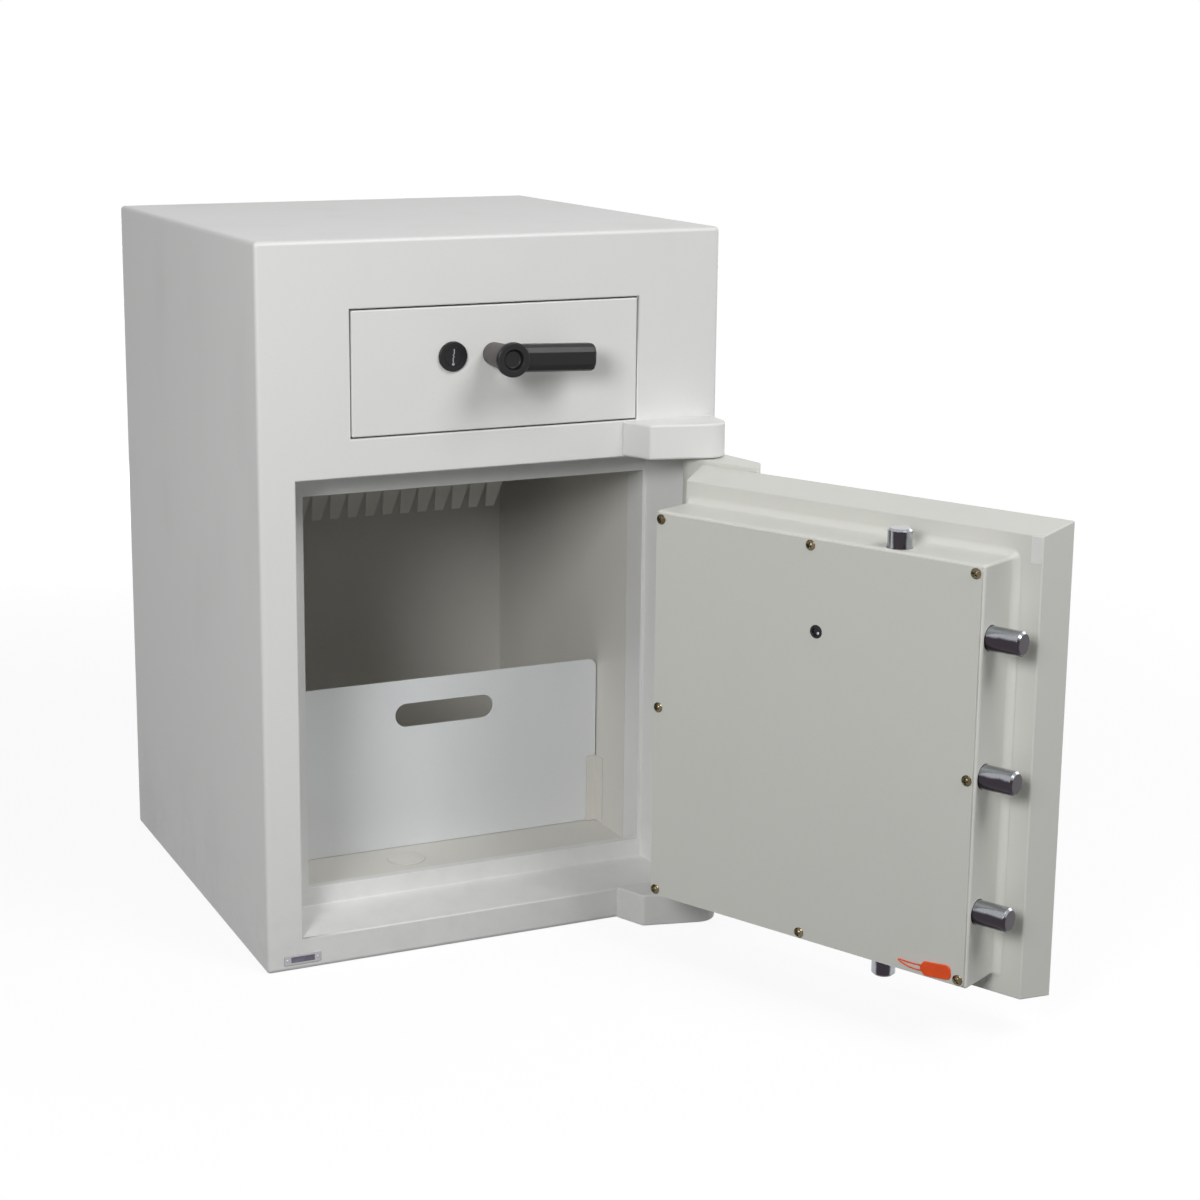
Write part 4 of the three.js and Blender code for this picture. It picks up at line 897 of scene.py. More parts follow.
def hinge_outline(centre, radius, shoulder_proud, closing, face, edge):
    """Plan of a hinge piece: up to the shoulder, down a slope that touches the round, and back.

    The slope's touching angle is the shoulder's bearing from the round's centre plus the angle
    whose cosine is the radius over their distance. The round ends at the closing angle, and the
    plan starts and ends on the face.
    """
    shoulder = np.array([LEFT + HINGE["shoulder"], FRONT - shoulder_proud])
    away = shoulder - centre
    touch = math.degrees(math.atan2(away[1], away[0]) + math.acos(radius / np.linalg.norm(away)))
    round_side = arc(centre, radius, touch, closing, 16)
    corners = [(LEFT + HINGE["start"], face), shoulder, round_side[0]]
    crest = rounded(corners, (0, HINGE["crest"], 0), closed=False)
    return np.concatenate([crest[:-1], round_side, [(edge, face)]])


def pin_skin(radius, low, high, chamfer=0.0):
    """A pin on the hinge line with both ends chamfered, or a plain core to cut a bore with."""
    profile = [(radius, low), (radius, high)]
    if chamfer:
        tip, flat = HINGE["pin_tip"], radius - chamfer
        profile = [(tip, low), (flat, low), (radius, low + chamfer)]
        profile += [(radius, high - chamfer), (flat, high), (tip, high)]
    return lathe(profile, PIVOT, axis=2, sides=40)


class SAFE_OT_hinges(bpy.types.Operator):
    """Make the hinge blocks, the column between them and their pins"""

    bl_idname = "safe.hinges"
    bl_label = "Hinges"

    def execute(self, context):
        edge = context.scene.safe_body.block_edge
        column_edge = 0.7 * edge
        pin, lid, gap = HINGE["pin"], HINGE["lid"], HINGE["pin_gap"]
        boss = PIVOT[:2] + HINGE["boss_shift"]
        plan = hinge_outline(boss, HINGE["boss"], HINGE["block_proud"], 0, FRONT, boss[0] + HINGE["boss"])
        for level, bore, ends in (
            ("lower", (lid, MM), (lid + gap, -0.5 * MM)), ("upper", (-MM, -lid), (0.5 * MM, -lid - gap)),
        ):
            low, high = span(f"{level}_hinge_block")
            skin = prism(plan, low[2], high[2], axis=2)
            piece = make_piece(f"{level}_block", skin, "paint", "root", "paint", f"{level}_hinge_block")
            cut(piece, pin_skin(HINGE["block_bore"], low[2] + bore[0], high[2] + bore[1]))
            soften(piece, edge, 3)
            low, high = span(f"{level}_hinge_pin")
            skin = pin_skin(pin, low[2] + ends[0], high[2] + ends[1], HINGE["pin_chamfer"])
            make_piece(f"{level}_pin", skin, "steel", "root", "steel", f"{level}_hinge_pin")
        low, high = shut_span("hinge_column")
        plan = hinge_outline(
            PIVOT[:2], HINGE["column"], HINGE["column_proud"], 90, FRONT + HINGE["column_gap"],
            LEFT + HINGE["column_edge"],
        )
        skin = prism(plan, low[2], high[2], axis=2)
        piece = make_piece("column", skin, "door_paint", "door", "paint", "hinge_column")
        bore, entry = HINGE["column_bore"], HINGE["pin_entry"]
        bores = ((low[2] - MM, low[2] + entry), (high[2] - entry, high[2] + MM))
        cut(piece, *[pin_skin(bore, start, end) for start, end in bores])
        soften(piece, column_edge, 3)
        dress("brass", "hinge_washer")
        return {"FINISHED"}


class SAFE_OT_rating_plate(bpy.types.Operator):
    """Make the blank rating plate with its two rivets"""

    bl_idname = "safe.rating_plate"
    bl_label = "Rating plate"

    def execute(self, context):
        low, high = span("rating_plate")
        trim, corner = 0.7 * MM, 1.2 * MM
        outline = rectangle((low[0], low[2] + trim), (high[0], high[2] - trim), corner)
        skin = prism(outline, high[1], low[1])
        piece = make_piece("blank_plate", skin, "rating_plate", "root", "steel", "rating_plate")
        soften(piece, 0.2 * MM, 2)
        side, end, corner = 6.6 * MM, 2.6 * MM, 0.4 * MM
        proud, sunk = 0.06 * MM, 0.3 * MM
        field = rectangle((low[0] + side, low[2] + end), (high[0] - side, high[2] - end), corner)
        skin = prism(field, low[1] + sunk, low[1] - proud)
        make_piece("plate_print", skin, "dark_print", "root", "steel")
        rivet, seat, inset, flatness = 1.5 * MM, 0.2 * MM, 3.2 * MM, 0.55
        head = np.concatenate([[(rivet, seat)], arc((0, 0), rivet, 0, 84, 6) * (1, flatness)])
        head[:, 1] = low[1] + seat - head[:, 1]
        middle = (low[2] + high[2]) / 2
        rivets = [lathe(head, (x, 0, middle), sides=20) for x in (low[0] + inset, high[0] - inset)]
        make_piece("plate_rivets", joined(*rivets), "steel", "root", "steel")
        return {"FINISHED"}


# The drawer

def paddle_skin(at, start, end, near, spec):
    """A lever's paddle: a rounded section carried out from the head and closed by a crowned tip.

    Across the section the front is a shallow crown with two long facets; towards the tip the
    section shrinks with a small power of the cosine of the way round. The droop turns it down
    about the spindle.
    """
    half, depth, edge, crown = spec["paddle_height"] / 2, spec["paddle_depth"], 2 * MM, 3.2 * MM
    far = near + depth
    facet, crest = 0.42 * depth, 0.16 * depth
    section = rounded([
        (near, facet - half), (near + crest, edge - half), (near + facet, -half), (far, -half),
        (far, half), (near + facet, half), (near + crest, half - edge), (near, half - facet),
    ], edge, 4)
    tip = np.radians(np.linspace(0, 78, 7))
    straight = [start, *np.linspace(start + 2 * MM, end - crown, 5)]
    along = np.concatenate([straight, end - crown + crown * np.sin(tip)[1:]])
    scale = np.concatenate([np.ones(len(straight)), np.cos(tip)[1:] ** 0.16])[:, None]
    middle = (near + far) / 2
    flat = np.stack(np.broadcast_arrays(along[:, None] - at[0], section[:, 1] * scale), -1)
    rows = on_plane(turned(flat, spec["droop"]), middle + (section[:, 0] - middle) * scale)
    return loft(rows + (at[0], 0, at[2]))


def lever_skin(at, face, spec, end):
    """A lever handle: a dished head turned about Y, stepped in for the sleeve, and the paddle."""
    waist = face - spec["neck_length"]
    tip = waist - spec["head_length"]
    core, head, dish, pole = spec["core"], spec["head"], spec["dish"], 0.4 * MM
    profile = rounded([
        (pole, face), (core, face), (core, waist), (head - 1.4 * MM, waist), (head, waist - 3 * MM),
        (head, tip), (dish + MM, tip), (dish, tip + 1.6 * MM), (dish * 0.86, tip + 4.4 * MM),
        (pole, tip + 5 * MM),
    ], np.array([0, 0.4, 0, 0.5, 1, 1.5, 0.8, 0.6, 1.6, 0]) * MM, 5, closed=False)
    paddle = paddle_skin(at, at[0] + dish * 1.1, end, tip + spec["paddle_set"], spec)
    return joined(lathe(profile, at), paddle)


def sleeve_skin(at, face, spec):
    """The sleeve round a lever's neck: a tube that swells a little towards the head, turned about Y."""
    waist, core = face - spec["neck_length"] + 0.1 * MM, spec["core"] + 0.1 * MM
    corners = [(core, waist), (spec["neck"], waist), (spec["foot"], face), (core, face)]
    return lathe(rounded(corners, np.array([0.2, 0.8, 0.5, 0]) * MM, 4), at, closed=True)


def make_lever(handle, sleeve, body, node, at, face, spec, end):
    """The two pieces that stand in for a lever's node: the lever handle and its sleeve."""
    skin = lever_skin(at, face, spec, end)
    make_piece(handle, skin, "black_plastic", body, "black_plastic", node)
    make_piece(sleeve, sleeve_skin(at, face, spec), "grey_plastic", body, "black_plastic")


def rose_skin(at, inner, outer, near, far, shoulder=1.2 * MM):
    """A ring round a spindle: a flat-backed section with a rounded outer shoulder, turned about Y."""
    corners = [(inner, near), (outer, near), (outer, far), (inner, far)]
    return lathe(rounded(corners, (0.2 * MM, shoulder, 0, 0), 4), at, closed=True)


class SAFE_OT_drawer(bpy.types.Operator):
    """Make the drawer's front, lock and lever, and finish its tray and slides"""

    bl_idname = "safe.drawer"
    bl_label = "Deposit drawer"

    def execute(self, context):
        sizes = context.scene.safe_drawer
        low, high = span("drawer_front")
        step, sheet = 3.2 * MM, 14 * MM
        breaks = [[low[axis], low[axis] + step, high[axis] - step, high[axis]] for axis in range(3)]
        breaks[1] = [low[1], low[1] + sheet, high[1]]
        piece = make_piece("drawer_face", cell_solid(breaks), "paint", "drawer", "paint", "drawer_front")
        soften(piece, sizes.front_edge, 3)
        self.lock(sizes)
        self.lever()
        dress("steel", "drawer_tray", "drawer_sleeve", "left_drawer_runner", "right_drawer_runner")
        dress("steel", "drop_chute", "lever_spindle", "latch_arm")
        return {"FINISHED"}

    def lock(self, sizes):
        """The key's rose, the plug with its cam behind it, and the keyway's line with a dot."""
        low, high = span("key_escutcheon")
        at = (low + high) / 2
        front, back = low[1], span("key_barrel")[1][1]
        plug, clearance, pole = 8.7 * MM, 0.2 * MM, 0.3 * MM
        rose = rose_skin(at, plug + clearance, (high[0] - low[0]) / 2, front, high[1])
        make_piece("key_rose", rose, "black_plastic", "drawer", "black_plastic", "key_escutcheon")
        corners = [(pole, back), (plug, back), (plug, front), (pole, front)]
        barrel = lathe(rounded(corners, (0, 0, 0.3 * MM, 0), closed=False), at)
        half, drop, corner, sheet = 6 * MM, 25 * MM, 2 * MM, 3 * MM
        outline = rectangle((at[0] - half, at[2] - drop), (at[0] + half, at[2] + half), corner)
        skin = joined(barrel, prism(outline, back, back - sheet))
        make_piece("key_plug", skin, "black_plastic", "drawer_key", "black_plastic", "key_barrel")
        path = np.array([(0.5, 7.2), (0.5, 2.6), (-0.8, 1.2), (0.6, 0.0), (-0.7, -1.4), (-0.4, -6.6)]) * MM
        aside = (sizes.key_width / 2, 0)
        outline = np.concatenate([path + aside, path[::-1] - aside]) + at[[0, 2]]
        inner, outer, dot, pole = front + 0.5 * MM, front - 0.12 * MM, 1.3 * MM, 0.2 * MM
        foot = np.array([-0.5, 0, -7]) * MM
        end = lathe([(dot, inner), (dot, outer), (pole, outer)], at + foot, sides=20)
        make_piece("keyway", joined(prism(outline, outer, inner), end), "steel", "drawer_key", "steel")

    def lever(self):
        """The lever with its sleeve, and the collar that it turns in."""
        rose_low, rose_high = span("lever_rose")
        at = (rose_low + rose_high) / 2
        face = FRONT - LEVER["face_gap"]
        gap = 0.2 * MM
        inner, outer = LEVER["core"] + gap / 2, LEVER["foot"] - gap
        collar = rose_skin(at, inner, outer, face + gap, rose_high[1], gap)
        make_piece("lever_collar", collar, "black_plastic", "drawer", "black_plastic", "lever_rose")
        end = span("drawer_lever")[1][0]
        make_lever("lever_handle", "lever_sleeve", "drawer_latch", "drawer_lever", at, face, LEVER, end)


# The door

def slab_skin():
    """The door slab as cells with a pocket for its filling, drawn in towards its inner face."""
    low, high = SLAB
    margin, sheet = 12 * MM, 11 * MM
    xs, zs = (
        [low[axis], CASE[0][axis] + margin, CASE[1][axis] - margin, high[axis]] for axis in (0, 2)
    )
    pocket = ((xs[1], low[1] + sheet, zs[1]), (xs[2], FAR, zs[2]))
    points, faces = cell_solid((xs, [low[1], low[1] + sheet, high[1]], zs), [pocket])
    share = (points[:, 1] - low[1]) / (high[1] - low[1])
    for axis, edge, slide in (
        (0, low[0], 6.5 * MM), (0, high[0], -12.5 * MM), (2, low[2], 8 * MM), (2, high[2], -8 * MM),
    ):
        rows = np.isclose(points[:, axis], edge)
        points[rows, axis] += slide * share[rows]
    return points, faces


def case_skin(edge, weld):
    """The bolt box: a section carried round its rounded rectangle.

    From the slab a hollow fillet runs up to the wall, the outer edge is round, and the lip turns
    in and back down inside the wall. The hinge side stops short of the slab's slope.
    """
    low, high = CASE
    lip, sheet, wall, stop = 17 * MM, 2 * MM, 3 * MM, SLAB[1][0] - 12.7 * MM
    outline = rectangle((low[0], low[2]), (high[0], high[2]), edge, 6)
    hollow = arc((weld, low[1] + weld), weld, 270, 180, 7)
    corner = arc((-edge, high[1] - edge), edge, 0, 90, 6)
    inside = [(-lip, high[1]), (-lip, high[1] - sheet), (-wall, high[1] - sheet), (-wall, low[1])]
    profile = np.concatenate([hollow, corner, inside])
    flat = outline + outward(outline) * profile[:, :1, None]
    flat[..., 0] = np.minimum(flat[..., 0], stop)
    return loft(on_plane(flat, profile[:, 1:]), closed=True)


def bolt_skin(centre, axis, tip, inner, radius, edge):
    """A bolt turned about its axis: a flat tip with a softened chamfer, then a straight shank."""
    chamfer, pole, length = 1.9 * MM, 0.4 * MM, abs(inner - tip)
    levels = [(pole, 0), (radius - chamfer, 0), (radius, chamfer), (radius, length), (pole, length)]
    profile = rounded(levels, (0, edge, edge, 0.2 * MM, 0), 3, closed=False)
    profile[:, 1] = tip + math.copysign(1, inner - tip) * profile[:, 1]
    return lathe(profile, centre, axis, sides=56)


def screw_skin(at, back, top, number):
    """A raised screw with a cross recess: a grid of distance and way round about the Y axis.

    The head is a low half-ellipse. Within the cross's reach, and under half an arm's width from
    either arm, a smooth step takes the recess out of it. The number turns the cross.
    """
    ring = circle(64)
    out = np.array([3.9, 3.6, 3.2, 2.9, 2.75, 2.6, 2.4, 2.0, 1.6, 1.2, 0.8, 0.4, 0.05]) * MM
    stem, washer, bevel = 2 * MM, 4.9 * MM, 4.5 * MM
    seat, step, rim = top - 3.2 * MM, top - 2.75 * MM, top - 2.5 * MM
    head, crown = 4 * MM, 2.5 * MM
    arm, arm_slope, cross, cross_slope, recess = 0.62 * MM, 0.2 * MM, 2.85 * MM, 0.3 * MM, 1.3 * MM
    dome = rim + crown * np.sqrt(1 - (out / head) ** 2)
    flat = out[:, None, None] * ring
    aside = np.abs(turned(flat, number * 0.7)).min(-1)
    depth = np.clip((arm - aside) / arm_slope, 0, 1) * np.clip((cross - out) / cross_slope, 0, 1)[:, None]
    base = np.array([(stem, back), (stem, seat), (washer, seat), (washer, step), (bevel, rim)])
    rows = np.concatenate([
        on_plane(base[:, :1, None] * ring, base[:, 1:]), on_plane(flat, dome[:, None] - recess * depth),
    ])
    return loft(rows + (at[0], 0, at[2]))


class SAFE_OT_door(bpy.types.Operator):
    """Make the door slab, the bolt box with its cover, screws and bush"""

    bl_idname = "safe.door"
    bl_label = "Door"

    def execute(self, context):
        sizes = context.scene.safe_door
        slab = make_piece("slab_skin", slab_skin(), "door_paint", "door", "paint", "door_slab")
        soften(slab, sizes.slab_edge, 3)
        side, down, width, height = 7.5 * MM, 9 * MM, 10 * MM, 24 * MM
        left, face, top = SLAB[0][0] + side, SLAB[1][1], SLAB[1][2] - down
        proud, sunk = 0.7 * MM, 0.4 * MM
        outline = rectangle((left, top - height), (left + width, top), MM, 3)
        skin = prism(outline, face + proud, face - sunk)
        tab = make_piece("corner_tab", skin, "paint", "door", "paint")
        soften(tab, 0.15 * MM, 2)
        self.case(sizes)
        self.cover(sizes)
        dress("filling", "door_filling", "barrier_fill")
        dress("steel", "hard_plate", "lock_case")
        return {"FINISHED"}

    def case(self, sizes):
        """The bolt box, with a hole for each bolt through its wall."""
        skin = case_skin(sizes.case_edge, sizes.case_weld)
        case = make_piece("bolt_case", skin, "door_paint", "door", "paint", "bolt_box")
        hole, outside, past = 11.6 * MM, 3 * MM, 6 * MM
        places = [(f"{name}_side_bolt", 0, CASE[0][0], outside) for name in SIDES]
        places += [("top_bolt", 2, CASE[1][2], past), ("bottom_bolt", 2, CASE[0][2], past)]
        drills = [
            lathe([(hole, wall - before), (hole, wall + past)], np.mean(shut_span(name), 0), axis, sides=48)
            for name, axis, wall, before in places
        ]
        cut(case, *[(swung(points), faces) for points, faces in drills])

    def cover(self, sizes):
        """The cover, drilled for its eight screws and for the key-change bush with a pin in it.

        The steel pin is partly a painted highlight for the light on the bore's far wall.
        """
        low, high = COVER
        corner, screw_hole, play = 4 * MM, 2.3 * MM, 0.1 * MM
        outline = rectangle((low[0], low[2]), (high[0], high[2]), corner, 6)
        skin = prism(outline, high[1], low[1])
        cover = make_piece("case_cover", skin, "door_paint", "door", "paint", "bolt_box_cover")
        holes = []
        for number in range(1, 9):
            name = f"cover_screw_{number}"
            low, high = shut_span(name)
            at = (low + high) / 2
            holes.append((at, screw_hole))
            skin = screw_skin(at, low[1], high[1], number)
            make_piece(f"screw_{number}", skin, "brass", "door", "brass", name)
        low, high = shut_span("key_change_bush")
        at = (low + high) / 2
        bush, bore, floor, pole = 6.2 * MM, 3.9 * MM, high[1] - 1.8 * MM, 0.3 * MM
        holes.append((at, bush + play))
        through = (COVER[0][1] - MM, COVER[1][1] + MM)
        drills = [lathe([(radius, level) for level in through], spot, sides=32) for spot, radius in holes]
        cut(cover, *[(swung(points), faces) for points, faces in drills])
        soften(cover, sizes.cover_edge, 2)
        corners = [(pole, low[1]), (bush, low[1]), (bush, high[1])]
        corners += [(bore, high[1]), (bore, floor), (pole, floor)]
        profile = rounded(corners, np.array([0, 0, 0.6, 0.5, 0, 0]) * MM, 3, closed=False)
        skin = lathe(profile, at, sides=48)
        make_piece("change_bush", skin, "black_plastic", "door", "black_plastic", "key_change_bush")
        # The pin is partly a painted highlight: it stands where light falls on the bore's far wall.
        pin, foot, crown, rise = 1.55 * MM, high[1] - 2.1 * MM, (0, high[1] - 1.1 * MM), 0.8 * MM
        profile = np.concatenate([[(pin, foot)], crown + arc((0, 0), 1, 0, 84, 5) * (pin, rise)])
        skin = lathe(profile, at + np.array([-1.9, 0, -1.4]) * MM, sides=24)
        make_piece("change_pin", skin, "steel", "door", "steel")


class SAFE_OT_boltwork(bpy.types.Operator):
    """Make the five bolts and finish the bars and cam behind them"""

    bl_idname = "safe.boltwork"
    bl_label = "Boltwork"

    def execute(self, context):
        edge = context.scene.safe_door.bolt_edge
        rows = [(f"{name}_side_bolt", 0, 0, "chrome", "side_boltwork") for name in SIDES]
        rows += [
            ("top_bolt", 2, 1, "upright_chrome", "top_boltwork"),
            ("bottom_bolt", 2, 0, "upright_chrome", "bottom_boltwork"),
        ]
        for name, axis, outer, finish_name, body in rows:
            ends = shut_span(name)
            radius = (ends[1][2 - axis] - ends[0][2 - axis]) / 2
            tip, inner = ends[outer][axis], ends[1 - outer][axis]
            skin = bolt_skin(np.mean(ends, 0), axis, tip, inner, radius, edge)
            make_piece(f"{name}_skin", skin, finish_name, body, "chrome", name)
        dress("steel", "side_bolt_bar", "top_bolt_bar", "bottom_bolt_bar", "boltwork_cam", "handle_spindle")
        return {"FINISHED"}


class SAFE_OT_seal(bpy.types.Operator):
    """Make the orange seal tag and its strap"""

    bl_idname = "safe.seal"
    bl_label = "Seal"

    def execute(self, context):
        low, high = shut_span("seal_tag")
        centre = (low + high)[[0, 2]] / 2
        tilt = math.radians(6)
        x, z = 15.2 * MM, 6.6 * MM
        corner, end = 4.2 * MM, 4.5 * MM
        outline = rounded([
            (-x, -z), (x - corner, -z), (x, -corner / 2), (x, corner / 2), (x - corner, z), (-x, z),
        ], (end, MM, MM, MM, MM, end), 4)
        skin = prism(turned(outline, tilt) + centre, high[1], low[1])
        tag = make_piece("seal_body", skin, "seal_plastic", "door", "seal_plastic", "seal_tag")
        soften(tag, 0.5 * MM, 2)
        self.strap(centre, tilt)
        return {"FINISHED"}

    def strap(self, centre, tilt):
        """The strap: a flat oval section carried along two arcs that meet in a turn."""
        start, reach, aside, bulge = 15.6 * MM, 22 * MM, 2.4 * MM, 4 * MM
        oval = circle(10) * (0.68 * MM, 0.5 * MM)
        way = np.linspace(0, 1, 40) * math.pi
        path = np.stack([start + reach * np.sin(way), aside * np.cos(way) + bulge * np.sin(way) ** 2], 1)
        path = turned(path, tilt) + centre
        flat = path[:, None] + sideways(np.gradient(path, axis=0))[:, None] * oval[:, :1]
        middle = np.mean(shut_span("seal_wire"), 0)[1]
        skin = loft(on_plane(flat, middle + oval[:, 1]))
        make_piece("seal_strap", skin, "seal_plastic", "door", "seal_plastic", "seal_wire", smooth=60)


class SAFE_OT_outer_fittings(bpy.types.Operator):
    """Make the dial, its ring, the handle and its rose on the door's outer face"""

    bl_idname = "safe.outer_fittings"
    bl_label = "Dial and handle"

    def execute(self, context):
        self.dial()
        low, high = shut_span("handle_rose")
        at = (low + high) / 2
        play = 0.4 * MM
        rose = rose_skin(at, HANDLE["foot"] + play, (high[0] - low[0]) / 2, low[1], high[1])
        make_piece("handle_collar", rose, "black_plastic", "door", "black_plastic", "handle_rose")
        face = SLAB[0][1] - HANDLE["face_gap"]
        end = shut_span("door_handle")[1][0]
        make_lever("handle_grip", "handle_sleeve", "handle", "door_handle", at, face, HANDLE, end)
        return {"FINISHED"}

    def dial(self):
        """The dial's ring, and the dial: a sloped disc, a fluted knob and the spindle."""
        low, high = shut_span("dial_ring")
        at = (low + high) / 2
        bezel = rose_skin(at, DIAL["bore"], (high[0] - low[0]) / 2, low[1], high[1])
        make_piece("dial_bezel", bezel, "steel", "door", "chrome", "dial_ring")
        back = low[1] - DIAL["gap"]
        face = back - DIAL["height"]
        (_, front, _), (_, inner, _) = shut_span("combination_dial")
        disc, hub, recess, pole = DIAL["disc"], DIAL["hub"], face - DIAL["recess"], 0.4 * MM
        profile = rounded([
            (pole, back), (disc, back), (disc, back - DIAL["disc_edge"]), (DIAL["flat"], face),
            (hub, face), (hub, recess), (DIAL["recess_end"], recess),
        ], np.array([0, 0.3, 0.8, 1.5, 0.4, 0.4, 0]) * MM, 3, closed=False)
        rim = circle(192)
        turn = np.linspace(0, 2 * math.pi, len(rim), endpoint=False)
        flute = rim * (DIAL["knob"] + DIAL["flute"] * np.cos(turn * DIAL["flutes"]))[:, None]
        foot, top, edge = face - DIAL["knob_foot"], front + DIAL["knob_top"], front + DIAL["knob_edge"]
        dip = front + DIAL["knob_dip"]
        levels = np.array([foot, top, edge, front, front, dip, dip])
        scale = np.array([1, 0.97, 0.945, 0.88, 0.6, 0.5, 0.02])
        knob = loft(on_plane(flute * scale[:, None, None], levels[:, None]) + (at[0], 0, at[2]))
        spindle = lathe([(DIAL["shaft"], level) for level in (face, inner)], at, sides=32)
        skin = joined(lathe(profile, at, sides=96), knob, spindle)
        make_piece("dial_knob", skin, "black_plastic", "dial", "black_plastic", "combination_dial")
        skin = joined(self.ticks(at, face), *self.digits(at, face))
        make_piece("dial_marks", skin, "plate_paint", "dial", "plate_paint", smooth=20)

    @staticmethod
    def ticks(at, face):
        """A hundred ticks on the dial's slope: the tens are long and wide, the fives half long."""
        number = np.arange(100)
        ray = rays(math.pi / 2 - number * math.pi / 50)
        tens, fives = number % 10 == 0, number % 5 == 0
        outer = np.full(100, 34.2 * MM)
        inner = np.where(tens, 31.6 * MM, np.where(fives, 32.2 * MM, 32.8 * MM))
        half = np.where(tens, 0.26 * MM, 0.16 * MM)
        radius = np.stack([inner, outer, outer, inner], 1)
        aside = half[:, None] * (1, 1, -1, -1)
        flat = ray[:, None] * radius[..., None] + sideways(ray)[:, None] * aside[..., None] + at[[0, 2]]
        slope, proud, depth = 1.5, 0.25 * MM, 0.6 * MM
        top = on_plane(flat, face + (radius - DIAL["flat"]) * slope - proud)
        blocks = np.concatenate([top, top + (0, depth, 0)], 1)
        ends = [(0, 1, 2, 3), (7, 6, 5, 4)]
        sides = np.array([*ends, (0, 4, 5, 1), (1, 5, 6, 2), (2, 6, 7, 3), (3, 7, 4, 0)])
        faces = (number[:, None, None] * 8 + sides).reshape(-1, 4).tolist()
        return blocks.reshape(-1, 3), faces

    @staticmethod
    def digits(at, face):
        """The tens as flat letters, each turned to read from outside, on the dial's flat."""
        skins = []
        for ten in range(0, 100, 10):
            curve = bpy.data.curves.new("digits", "FONT")
            curve.body = str(ten)
            curve.size = DIAL["digit_size"]
            curve.extrude = DIAL["digit_proud"]
            curve.align_x = "CENTER"
            curve.align_y = "CENTER"
            text = bpy.data.objects.new("digits", curve)
            bpy.context.scene.collection.objects.link(text)
            mesh = finished_mesh(text)
            points = corner_points(mesh)
            flat = turned(points[:, :2] + (0, DIAL["digits"]), ten * math.pi / 50) + at[[0, 2]]
            faces = [list(side.vertices) for side in mesh.polygons]
            skins.append((on_plane(flat, face - points[:, 2]), faces))
            bpy.data.objects.remove(text)
            bpy.data.curves.remove(curve)
            bpy.data.meshes.remove(mesh)
        return skins


# The stage

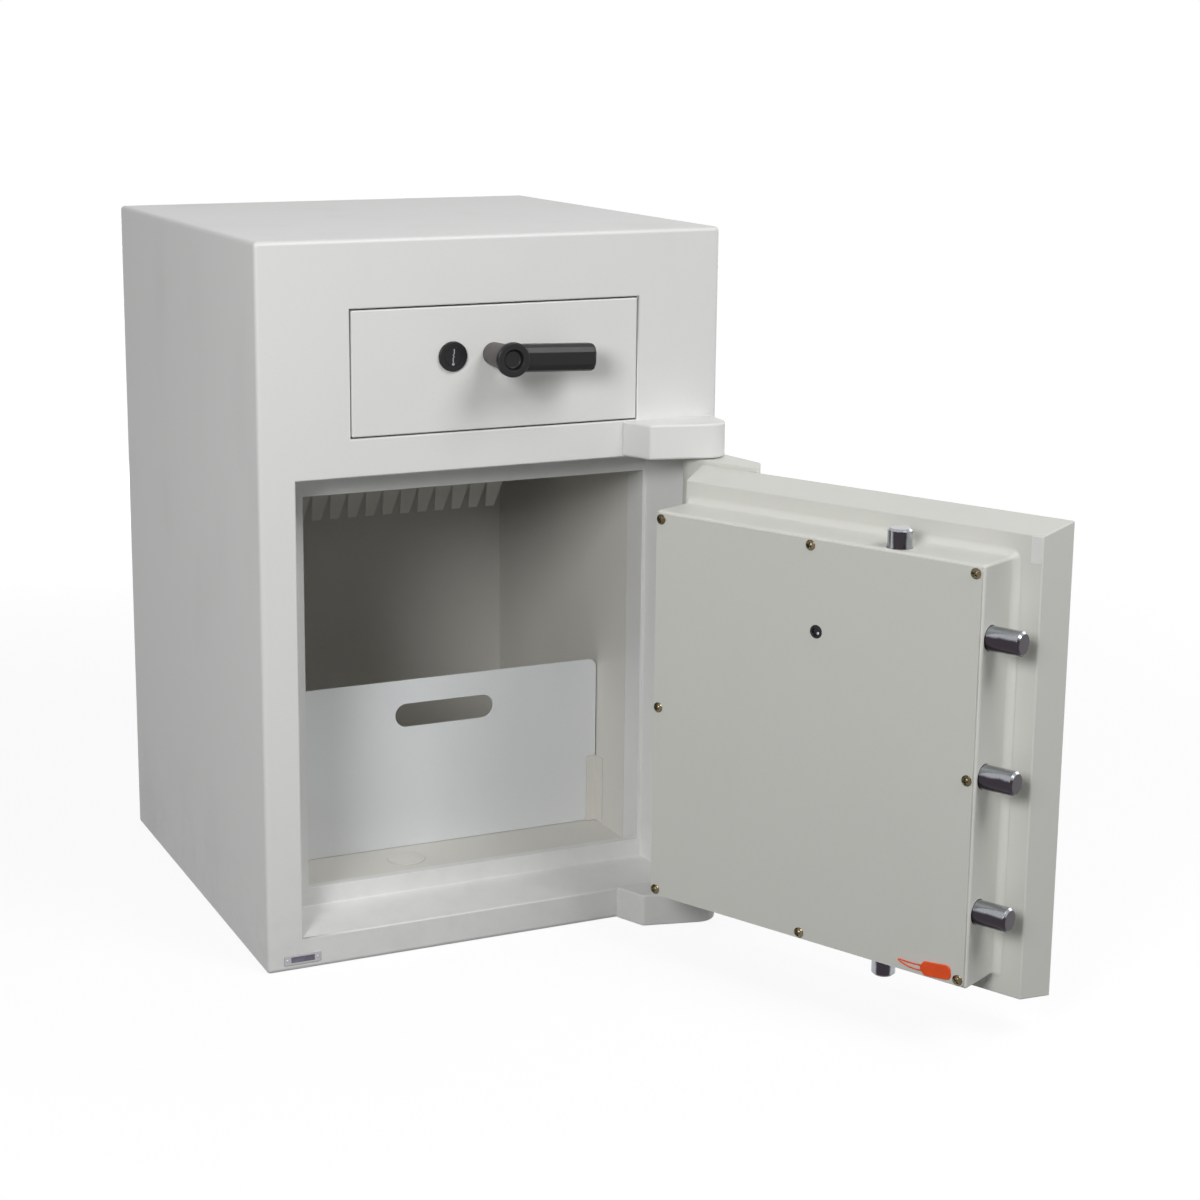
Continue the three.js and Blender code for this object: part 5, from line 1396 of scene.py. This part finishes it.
class SAFE_OT_stage(bpy.types.Operator):
    """Set up the floor, the lamps, the white surround and the camera"""

    bl_idname = "safe.stage"
    bl_label = "Stage"

    def execute(self, context):
        scene = context.scene
        stage = scene.safe_stage
        scene.view_settings.view_transform = "Standard"
        self.floor(scene, stage)
        self.world(scene, stage)
        for name, bearing, height, width in (
            ("key", -39, 1.35, stage.key_width), ("high", 25, 2.8, stage.fill_width),
            ("right", 85, 1.2, stage.fill_width), ("back", 170, 0.36, stage.back_width),
        ):
            self.lamp(f"{name}_lamp", getattr(stage, name), bearing, height, width)
        self.camera(scene)
        return {"FINISHED"}

    def floor(self, scene, stage):
        """A wide disc under the safe; to the camera it adds enough white to meet the surround."""
        recipe = Recipe("studio_floor", scene.safe_colours.floor, 0.9, **{"Specular IOR Level": 0.0})
        recipe.shade(0.995 + recipe.noise(2.0, 2.0) * 0.01)
        away = recipe.node("ShaderNodeVectorMath", {"operation": "LENGTH"}, {0: recipe.place}, "Value")
        near, far = (
            recipe.node("ShaderNodeEmission", {}, {"Color": WHITE, "Strength": strength})
            for strength in (stage.floor_glow, 1.0)
        )
        start, full = 1.0, 3.0
        white = recipe.between(away, start, full)
        glow = recipe.node("ShaderNodeMixShader", {}, {0: white, 1: near, 2: far})
        lifted = recipe.node("ShaderNodeAddShader", {}, {0: recipe.surface, 1: glow})
        both = recipe.node("ShaderNodeMixShader", {}, {0: recipe.seen(), 1: recipe.surface, 2: lifted})
        recipe.tree.links.new(both.socket, recipe.output.inputs["Surface"])
        radius, sides = 40.0, 120
        mesh = bpy.data.meshes.new("studio_floor")
        ring = on_plane(circle(sides) * radius, 0.0, axis=2)
        mesh.from_pydata(ring.tolist(), [], [list(range(sides))])
        mesh.materials.append(recipe.material)
        floor = bpy.data.objects.new("studio_floor", mesh)
        scene.collection.objects.link(floor)

    def world(self, scene, stage):
        """White where the camera or a mirror sees it, and the ambient strength as light."""
        world = bpy.data.worlds.new("surround")
        scene.world = world
        nodes = Nodes(world)
        ambient, white = (
            nodes.node("ShaderNodeBackground", {}, {"Color": WHITE, "Strength": strength})
            for strength in (stage.ambient, 1.0)
        )
        both = nodes.node("ShaderNodeMixShader", {}, {0: nodes.seen(), 1: ambient, 2: white})
        nodes.node("ShaderNodeOutputWorld", {}, {"Surface": both})

    def lamp(self, name, share, bearing, height, width):
        """A round lamp 2.5 m from the upright through the origin, turned towards the safe's middle.

        The bearing goes from the front to the right. The power gives the aim the share of a
        radiance of one: it is the share times pi squared times the distance squared.
        """
        turn, away, aim = math.radians(bearing), 2.5, Vector((0.0, -0.2, 0.4))
        place = Vector((away * math.sin(turn), -away * math.cos(turn), height))
        way = place - aim
        data = bpy.data.lights.new(name, "AREA")
        data.shape = "DISK"
        data.size = width
        data.energy = share * math.pi ** 2 * way.length_squared
        lamp = bpy.data.objects.new(name, data)
        lamp.rotation_mode = "QUATERNION"
        lamp.rotation_quaternion = way.to_track_quat("Z", "Y")
        lamp.location = place
        bpy.context.scene.collection.objects.link(lamp)

    def camera(self, scene):
        """The camera where the photograph was taken: azimuth 0 looks along +Y."""
        data = bpy.data.cameras.new("camera")
        full_frame, half = 36.0, CAMERA["frame"] / 2
        data.sensor_width = full_frame
        data.lens = CAMERA["focal"] / CAMERA["frame"] * full_frame
        data.shift_x = (half - CAMERA["middle"][0]) / CAMERA["frame"]
        data.shift_y = (CAMERA["middle"][1] - half) / CAMERA["frame"]
        camera = bpy.data.objects.new("camera", data)
        x, y, z = (value * MM for value in CAMERA["place"])
        camera.location = (x + LEFT, y + FRONT, z)
        azimuth, elevation = math.radians(CAMERA["azimuth"]), math.radians(CAMERA["elevation"])
        level = math.cos(elevation)
        look = Vector((math.sin(azimuth) * level, math.cos(azimuth) * level, math.sin(elevation)))
        roll = Euler((0, 0, math.radians(CAMERA["roll"]))).to_quaternion()
        camera.rotation_mode = "QUATERNION"
        camera.rotation_quaternion = look.to_track_quat("-Z", "Y") @ roll
        scene.collection.objects.link(camera)
        scene.camera = camera


class SAFE_PT_panel(bpy.types.Panel):
    """Lists the steps that make the safe"""

    bl_label = "Drop safe"
    bl_idname = "SAFE_PT_panel"
    bl_space_type = "VIEW_3D"
    bl_region_type = "UI"
    bl_category = "Safe"

    def draw(self, context):
        for group in ("safe_body", "safe_door", "safe_drawer", "safe_colours", "safe_stage"):
            box = self.layout.box()
            settings = getattr(context.scene, group)
            for name in settings.__annotations__:
                box.prop(settings, name)
        for step in STEPS:
            self.layout.operator(step.bl_idname)


GROUPS = {
    "safe_body": SafeBodySizes, "safe_door": SafeDoorSizes, "safe_drawer": SafeDrawerSizes,
    "safe_colours": SafeColours, "safe_stage": SafeStage,
}
STEPS = (
    SAFE_OT_casing, SAFE_OT_frame, SAFE_OT_compartment, SAFE_OT_retaining_plate, SAFE_OT_hinges,
    SAFE_OT_rating_plate, SAFE_OT_drawer, SAFE_OT_door, SAFE_OT_boltwork, SAFE_OT_seal,
    SAFE_OT_outer_fittings, SAFE_OT_stage,
)


def register():
    for group in GROUPS.values():
        bpy.utils.register_class(group)
    for name, group in GROUPS.items():
        setattr(bpy.types.Scene, name, PointerProperty(type=group))
    for step in (*STEPS, SAFE_PT_panel):
        bpy.utils.register_class(step)


def unregister():
    for step in reversed((*STEPS, SAFE_PT_panel)):
        bpy.utils.unregister_class(step)
    for name, group in reversed(GROUPS.items()):
        delattr(bpy.types.Scene, name)
        bpy.utils.unregister_class(group)


def main():
    """Makes every piece in order, then the stage."""
    register()
    for step in STEPS:
        folder, name = step.bl_idname.split(".")
        getattr(getattr(bpy.ops, folder), name)()


if __name__ == "__main__":
    main()
